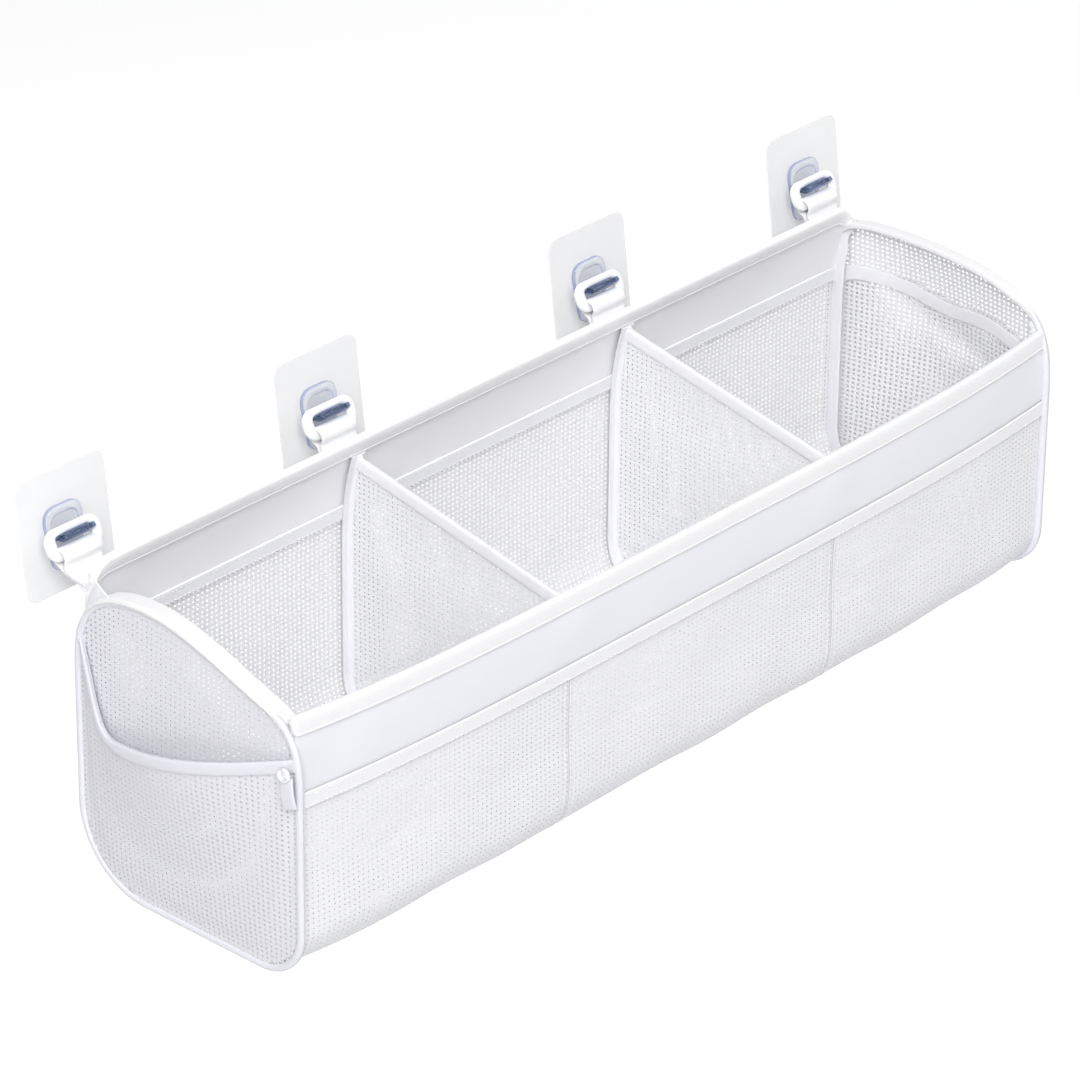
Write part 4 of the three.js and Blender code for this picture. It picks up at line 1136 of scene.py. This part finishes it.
def add_divider_fold(number, x):
    """The folded tape: a flat oval carried in a straight line from the rear rim to the front one."""
    t = np.linspace(-0.012, 1.006, 60)[:, None]
    run = divider_front - divider_rear
    way = run / np.linalg.norm(run)
    low = np.array([-way[1], way[0]])
    oval = oval_section(20, 4.1, 1.55, 0.55)
    middle = divider_rear + t[..., None] * run + 4.0 * low
    yz = middle - oval[:, 0][None, :, None] * low
    points = joined(x + oval[:, 1], yz)
    swept_piece(f"divider_{number}_fold", points, oval, TAPE, [f"divider_binding_{number}"])


def add_divider_seam(number, x):
    """The seam tape: a flat section with fine ribs, the arches of a sine, and a steep bell in its middle,
    carried along the long wall."""
    there = np.linspace(-SEAM_HALF, SEAM_HALF, 33)
    across = np.concatenate([there, np.linspace(SEAM_HALF, -SEAM_HALF, 33)])
    lift = 0.5 + 0.1 * np.abs(np.sin(math.pi * there / 1.25)) + SEAM_RIDGE * np.exp(-((there / 1.15) ** 4))
    depth = np.concatenate([SEAM_DEPTH + 0.3 + lift, np.full(33, SEAM_DEPTH)])
    s = np.linspace(10.6, WALL_LENGTH - 9.5, 240)[:, None]
    points = wall(s, depth[None] + 0 * s, x + across[None] + 0 * s)
    section = np.stack([across, depth], -1)
    stands_for = [f"divider_seam_tape_{number}"]
    swept_piece(f"divider_{number}_seam", points, section, TAPE, stands_for)


for number, x in DIVIDERS:
    add_divider_net(number, x)
    add_divider_fold(number, x)
    add_divider_seam(number, x)

# %% [markdown]
# At the rear corners a small patch of plain cloth closes the gap between the arch and the end of the rear
# rim. It is a ruled sheet between the two edges, puffed a little.

# %% Corner patches
PATCH_FOOT = {LEFT: 50.0, RIGHT: 58.0}


def add_corner_patch(label, side):
    """A ruled sheet: each point is a blend of a point on the arch's edge and one on the rear wall's end,
    puffed out by a product of two sines."""
    u = np.linspace(0, 1, 30)[:, None]
    v = np.linspace(0, 1, 16)
    arch = hoop(side, 24 * u[:, 0] - PATCH_FOOT[side], np.full(30, 0.8))
    rear = wall(32 - 30 * u[:, 0], NET_DEPTH, side * 298.5)[:, 1:]
    yz = arch[:, None] * (1 - v)[None, :, None] + rear[:, None] * v[None, :, None]
    puff = np.sin(math.pi * v)[None] * np.sin(math.pi * np.clip(u, 0.02, 0.98)) ** 0.5
    x = HALF - 1.2 * v[None] + 1.4 * puff
    outer, inner = (joined(side * (x + k), yz) for k in (0.5, -0.5))
    sections = np.concatenate([outer, inner[:, ::-1]], 1)
    flat = np.concatenate([np.stack([v, 0 * v], -1), np.stack([v, 0 * v + 1], -1)[::-1]]) * 20
    swept_piece(f"{label}_corner_patch", sections, flat, BAND, [f"{label}_corner_gusset"])


for label, side in ENDS:
    add_corner_patch(label, side)

# %% [markdown]
# The hanging parts are in the wall's own frame. Films and hook plates are outlines with rounded corners,
# shrunk towards their middle ring by ring while the depth changes, which gives bevels and a raised frame.

# %% Films and hooks
END_RING_X = 292.0
RING_X = (-END_RING_X, -DIVIDER_X, DIVIDER_X, END_RING_X)
HOOK_SHIFT = 2.4
FILM_SHIFT = 2.5
ROUND_COUNT = 96


def rounded_outline(top_width, low_width, top, low, top_r, low_r):
    """A rounded trapezium in (x, z), sampled evenly round it: straight sides, with a quadratic curve at
    each corner."""
    a, b = top_width / 2, low_width / 2
    side = lambda share: b + (a - b) * share
    up, down = low_r / (top - low), 1 - top_r / (top - low)
    half = chain(
        bezier((0, low), (b - low_r, low), count=4),
        bezier((b - low_r, low), (b, low), (side(up), low + low_r), count=16),
        bezier((side(up), low + low_r), (side(down), top - top_r), count=12),
        bezier((side(down), top - top_r), (a, top), (a - top_r, top), count=16),
        bezier((a - top_r, top), (0, top), count=6),
    )
    loop = chain(half, half[::-1] * np.array([-1, 1]))
    length = travelled(loop)
    at = (np.arange(ROUND_COUNT) + 0.5) * length[-1] / ROUND_COUNT
    return np.stack([np.interp(at, length, loop[:, k]) for k in (0, 1)], -1)


def shield(name, outline, rings, x, finish, crease, stands_for):
    """A flat moulding: the outline scaled about its middle by each ring's share, at each ring's depth y."""
    middle = (outline.max(0) + outline.min(0)) / 2
    rings = np.array(rings)
    xz = middle + (outline - middle)[None] * rings[:, :1, None]
    y = np.broadcast_to(rings[:, 1:], xz.shape[:2])
    points = MM * np.stack([x + xz[..., 0], y, xz[..., 1]], -1)
    flat, quads = carried(points)
    round_it = np.linspace(0, 1, len(outline))[None] + 0 * rings[:, :1]
    uv = np.stack([round_it, rings[:, :1] + 0 * round_it], -1).reshape(-1, 2)
    add_piece(name, flat, quads, finish, "wall_hooks", crease, uv, stands_for)


film_outline = rounded_outline(62, 62, 31.4, -34.6, 8, 8)
plate_outline = rounded_outline(27.5, 20, 12.8, -22, 10, 6)
FILM_CREASE = 8
PLATE_CREASE = 28
FILM_RINGS = [(0.03, 0), (0.99, 0), (1, -0.12), (1, -0.36), (0.992, -0.5), (0.03, -0.5)]
PLATE_RINGS = [
    (0.03, -0.8), (0.93, -0.8), (0.985, -1.0), (1, -1.5), (1, -3.0), (0.97, -3.8),
    (0.91, -4.25), (0.86, -4.3), (0.8, -4.2), (0.75, -3.5), (0.71, -3.2), (0.03, -3.1),
]


def rounded_polygon(corners):
    """A polygon with its corners cut off three times, each time at 18 and 82 percent of every side."""
    points = np.array(corners, float)
    for _ in range(3):
        ahead = np.roll(points, -1, axis=0)
        points = np.stack([0.82 * points + 0.18 * ahead, 0.18 * points + 0.82 * ahead], 1).reshape(-1, 2)
    return points


TONGUE_CORNERS = [(-3.0, 0), (-12, 0), (-13.9, 2.3), (-16.2, 0.4), (-13.4, -3), (-7.3, -3), (-3.0, -6)]
TONGUE_STATIONS = np.array([[-10.5, 0.86], [-10.2, 0.95], [-9.6, 1], [9.6, 1], [10.2, 0.95], [10.5, 0.86]])
MOULDED_CREASE = 35
tongue_outline = rounded_polygon(TONGUE_CORNERS)


def add_tongue(number, x):
    """The hook's tongue: its side outline carried across x, drawn in at both ends to round them."""
    middle = tongue_outline.mean(0)
    yz = middle + (tongue_outline - middle)[None] * TONGUE_STATIONS[:, 1][:, None, None]
    points, quads = carried(MM * joined(x + TONGUE_STATIONS[:, :1], yz))
    add_piece(f"hook_{number}_tongue", points, quads, CLEAR_DEEP, "wall_hooks",
              MOULDED_CREASE)


for number, x in enumerate(RING_X, 1):
    hook_x = x + HOOK_SHIFT
    film_x = hook_x + FILM_SHIFT
    shield(f"film_{number}", film_outline, FILM_RINGS, film_x, FILM,
           FILM_CREASE, [f"wall_film_{number}"])
    shield(f"hook_{number}_plate", plate_outline, PLATE_RINGS, hook_x, CLEAR,
           PLATE_CREASE, [f"hook_{number}"])
    add_tongue(number, hook_x)

# %% [markdown]
# Each ring is a flat oblong of white plastic with a slot. Its outer and its inner outline are read at the
# same angles, and a rounded section bridges them, so that bars and ends get their own widths.

# %% Rings
RING_TILT = math.radians(18)
RING_MIDDLE = np.array([-11.545, -3.455])
RING_HALF_THICK = 1.7
RING_CREASE = 60
SLOT_RISE = np.array([0, 0.8])


def stadium(length, height, corner):
    """Points of an oblong with rounded corners, at evenly spaced angles from its middle."""
    a, b = length / 2 - corner, height / 2 - corner
    quarters = [arc((a, b), corner, 0, 90), arc((-a, b), corner, 90, 180),
                arc((-a, -b), corner, 180, 270), arc((a, -b), corner, 270, 360), [(length / 2, b)]]
    loop = evenly(chain(*quarters), 600)
    turn = turns(ROUND_COUNT)
    way = np.stack([np.cos(turn), np.sin(turn)], -1)
    return reach_of(loop, np.zeros(2))(way[:, 0], way[:, 1])[:, None] * way


def add_ring(number, x):
    """Sections from the inner to the outer outline, rounded front and back, carried round the ring and
    joined to themselves."""
    outer, inner = stadium(38, 17, 7.5), stadium(24, 7.4, 2.4) + SLOT_RISE
    oval = oval_section(16, 1, 1, 0.65)
    ab = (outer + inner)[:, None] / 2 + (outer - inner)[:, None] / 2 * oval[:, 0][None, :, None]
    off = RING_HALF_THICK * oval[:, 1][None] + 0 * ab[..., 0]
    y = RING_MIDDLE[0] + ab[..., 1] * math.sin(RING_TILT) - off * math.cos(RING_TILT)
    z = RING_MIDDLE[1] + ab[..., 1] * math.cos(RING_TILT) + off * math.sin(RING_TILT)
    points, quads = carried(MM * np.stack([x + ab[..., 0], y, z], -1), ring=True)
    add_piece(f"ring_{number}", points, quads, MOULDED, "rings", RING_CREASE,
              stands_for=[f"hang_ring_{number}"])


for number, x in enumerate(RING_X, 1):
    add_ring(number, x)

# %% [markdown]
# A webbing loop goes round each ring's lower bar, and its doubled tail is sewn to the outside of the rear
# band. The two at the ends are squeezed into the corner, so they narrow and fold into pleats on the way down.

# %% Webbing loops
BAR = np.array([7.001, 183.30])
LOOP_R = 4.6
WEB_HALF = 13.0
WEB_HALF_THICK = 0.6
TAIL_GAP = 0.52


def loop_path():
    """(y, z) of the webbing's middle: up the tail, round the bar in an arc and down the tail again, smoothed
    by a running mean of seven points."""
    tail = wall(np.linspace(43, 26, 18), -1.35, 0)[:, 1:]
    pull = tail[-1] - BAR
    mouth = math.degrees(math.atan2(pull[1], pull[0]))
    turn = arc(BAR, LOOP_R, mouth + 20, mouth + 340, 60)
    away = np.array([-pull[1], pull[0]]) / np.linalg.norm(pull)
    path = chain(tail + TAIL_GAP * away, turn, (tail - TAIL_GAP * away)[::-1])
    even = evenly(path, 170)
    kernel = np.ones(7) / 7
    padded = np.concatenate([np.repeat(even[:1], 3, 0), even, np.repeat(even[-1:], 3, 0)])
    return np.stack([np.convolve(padded[:, k], kernel, "valid") for k in (0, 1)], -1)


def add_loop(number, x):
    """The webbing: a flat section set square to the path. An end loop narrows towards its tail, where a
    cosine pleats it."""
    path = loop_path()
    way = unit(np.gradient(path, axis=0))
    normal = np.stack([-way[:, 1], way[:, 0]], -1)
    squeeze = smooth(BAR[1] - 4 - path[:, 1], 0, 16)[:, None] * (abs(x) == END_RING_X)
    a = np.concatenate([np.linspace(-1, 1, 25), np.linspace(1, -1, 25)])
    faces = np.repeat([WEB_HALF_THICK, -WEB_HALF_THICK], 25)
    thick = faces * np.clip(9 * (1 - np.abs(a)) + 0.4, 0, 1)
    pleat = 1.1 * squeeze * np.cos(2 * math.pi * 1.5 * a)[None]
    across = x + (1 - 0.5 * squeeze) * WEB_HALF * a[None] - np.sign(x) * 3.0 * squeeze
    yz = path[:, None] + (thick[None] + pleat)[..., None] * normal[:, None]
    points = joined(across, yz)
    section = np.stack([WEB_HALF * a, thick], -1)
    swept_piece(f"loop_{number}", points, section, WEBBING, [f"strap_{number}"])


for number, x in enumerate(RING_X, 1):
    add_loop(number, x)

# %% [markdown]
# A press stud holds the left pocket's front corner, with a short folded ribbon under it.
# The stud is a profile turned about its axis: a rolled rim round a shallow cup.

# %% Stud and ribbon
STUD_Y = -150.8
STUD_Z = 121.0
STUD_X = -(float(pocket_out(LEFT, STUD_Y + 4, STUD_Z)) + 2.2)
STUD_PROFILE = np.array([
    (0.05, 0), (4.0, 0), (4.15, 0.5), (4.1, 1.2), (3.7, 1.8), (3.1, 2.0), (2.6, 1.7), (2.3, 1.1),
    (1.9, 0.8), (1.2, 1.0), (0.05, 1.1),
])


def add_stud():
    """Radius and height of a profile, turned round the stud's axis, which points out of the left end."""
    turn = turns(40)
    r, h = STUD_PROFILE[:, :1], STUD_PROFILE[:, 1:]
    points = np.stack([STUD_X - h + 0 * turn, STUD_Y + r * np.cos(turn), STUD_Z + r * np.sin(turn)], -1)
    flat, quads = carried(hung(points))
    add_piece("stud", flat, quads, METAL, "basket", MOULDED_CREASE, stands_for=["pocket_stud"])


def add_ribbon():
    """A narrow ribbon doubled on itself: a rounded section carried down, fullest below its middle by half a
    sine and a slope, and closed at its folded foot."""
    t = np.linspace(0, 1, 30)[:, None]
    oval = oval_section(20, 4.3, 1, 0.5)
    half = 0.55 + 0.25 * np.sin(math.pi * t) + 0.15 * t
    half = half * np.clip((1.02 - t) * 18, 0.2, 1) ** 0.5
    y = STUD_Y - 0.8 + oval[:, 0] - 2.6 * t
    z = STUD_Z - 2.6 - 16.2 * t - 0.45 * oval[:, 0]
    x = STUD_X + 0.3 - 0.8 * np.sin(math.pi * t) - half * oval[:, 1]
    swept_piece("ribbon", np.stack([x, y, z], -1), oval, PIPING, ["ribbon_tab"])


add_stud()
add_ribbon()

# %% [markdown]
# Rows of small stitches hold the tapes. A row could be a dashed line in a material, but real grains of
# thread catch light at their edges. Each stitch is a six-faced grain, and a whole row is one mesh, made from
# its points at once.

# %% Stitches
STITCH_PITCH = 3.2
STITCH_SIZE = np.array([2.0, 0.4, 0.14])
STITCH_CREASE = 30
GRAIN = np.array([[-0.5, -0.5, -1], [0.5, -0.5, -1], [0.5, 0.5, -1], [-0.5, 0.5, -1],
                  [-0.36, -0.3, 1], [0.36, -0.3, 1], [0.36, 0.3, 1], [-0.36, 0.3, 1]])
GRAIN_FACES = np.array([[3, 2, 1, 0], [4, 5, 6, 7], [0, 1, 5, 4], [1, 2, 6, 5], [2, 3, 7, 6], [3, 0, 4, 7]])


def add_stitches(name, line, facing):
    """Grains along a line of basket points: each one long in the line's direction and high in the facing
    direction."""
    count = int(travelled(line)[-1] / STITCH_PITCH)
    at = evenly(np.concatenate([line, facing], 1), count)
    middle, up = at[:, :3], at[:, 3:]
    way = unit(np.gradient(middle, axis=0))
    up = unit(up - (up * way).sum(1, keepdims=True) * way)
    axes = np.stack([way, np.cross(up, way), up], 1)
    points = middle[:, None] + (GRAIN * STITCH_SIZE) @ axes
    quads = (GRAIN_FACES[None] + 8 * np.arange(len(middle))[:, None, None]).reshape(-1, 4)
    uv = MM * np.tile(GRAIN[:, :2], (len(middle), 1))
    add_piece(name, hung(points.reshape(-1, 3)), quads, TAPE, "basket", STITCH_CREASE, uv)


def wall_row(name, s, depth, x_edge):
    """A row along x on the long wall. It faces into the basket where it is deeper than the net's middle,
    and out of it elsewhere."""
    x = np.linspace(-x_edge, x_edge, 200)
    line = wall(s, depth, x)
    add_stitches(name, line, (wall(s, depth + 1, x) - line) * (1 if depth > NET_DEPTH else -1))


RIM_STITCH = 9.6
UPPER_STITCH = 1.4
LOWER_STITCH = 7.4
STITCH_ROWS = (
    ("rear_rim", RIM_STITCH, 2.52, 283),
    ("rear_rim_back", RIM_STITCH, -1.32, 283),
    ("front_rim", WALL_LENGTH - RIM_STITCH, -1.32, 296),
    ("front_rim_back", WALL_LENGTH - RIM_STITCH, 2.52, 296),
    ("rear_tape_upper", BAND_HEIGHT + UPPER_STITCH, 2.6, 296),
    ("rear_tape_lower", BAND_HEIGHT + LOWER_STITCH, 2.6, 296),
    ("front_tape_upper", WALL_LENGTH - BAND_HEIGHT - UPPER_STITCH, -1.4, 296),
    ("front_tape_lower", WALL_LENGTH - BAND_HEIGHT - LOWER_STITCH, -1.4, 296),
)
for row, s, depth, x_edge in STITCH_ROWS:
    wall_row(f"{row}_stitches", s, depth, x_edge)
for number, x in DIVIDERS:
    for edge, off in (("left", -3.6), ("right", 3.6)):
        s = np.linspace(BAND_HEIGHT + 4, WALL_LENGTH - BAND_HEIGHT - 10, 300)
        seam_line = wall(s, 0.05, x + off)
        add_stitches(f"divider_{number}_{edge}_stitches", seam_line, seam_line - wall(s, 1.05, x + off))
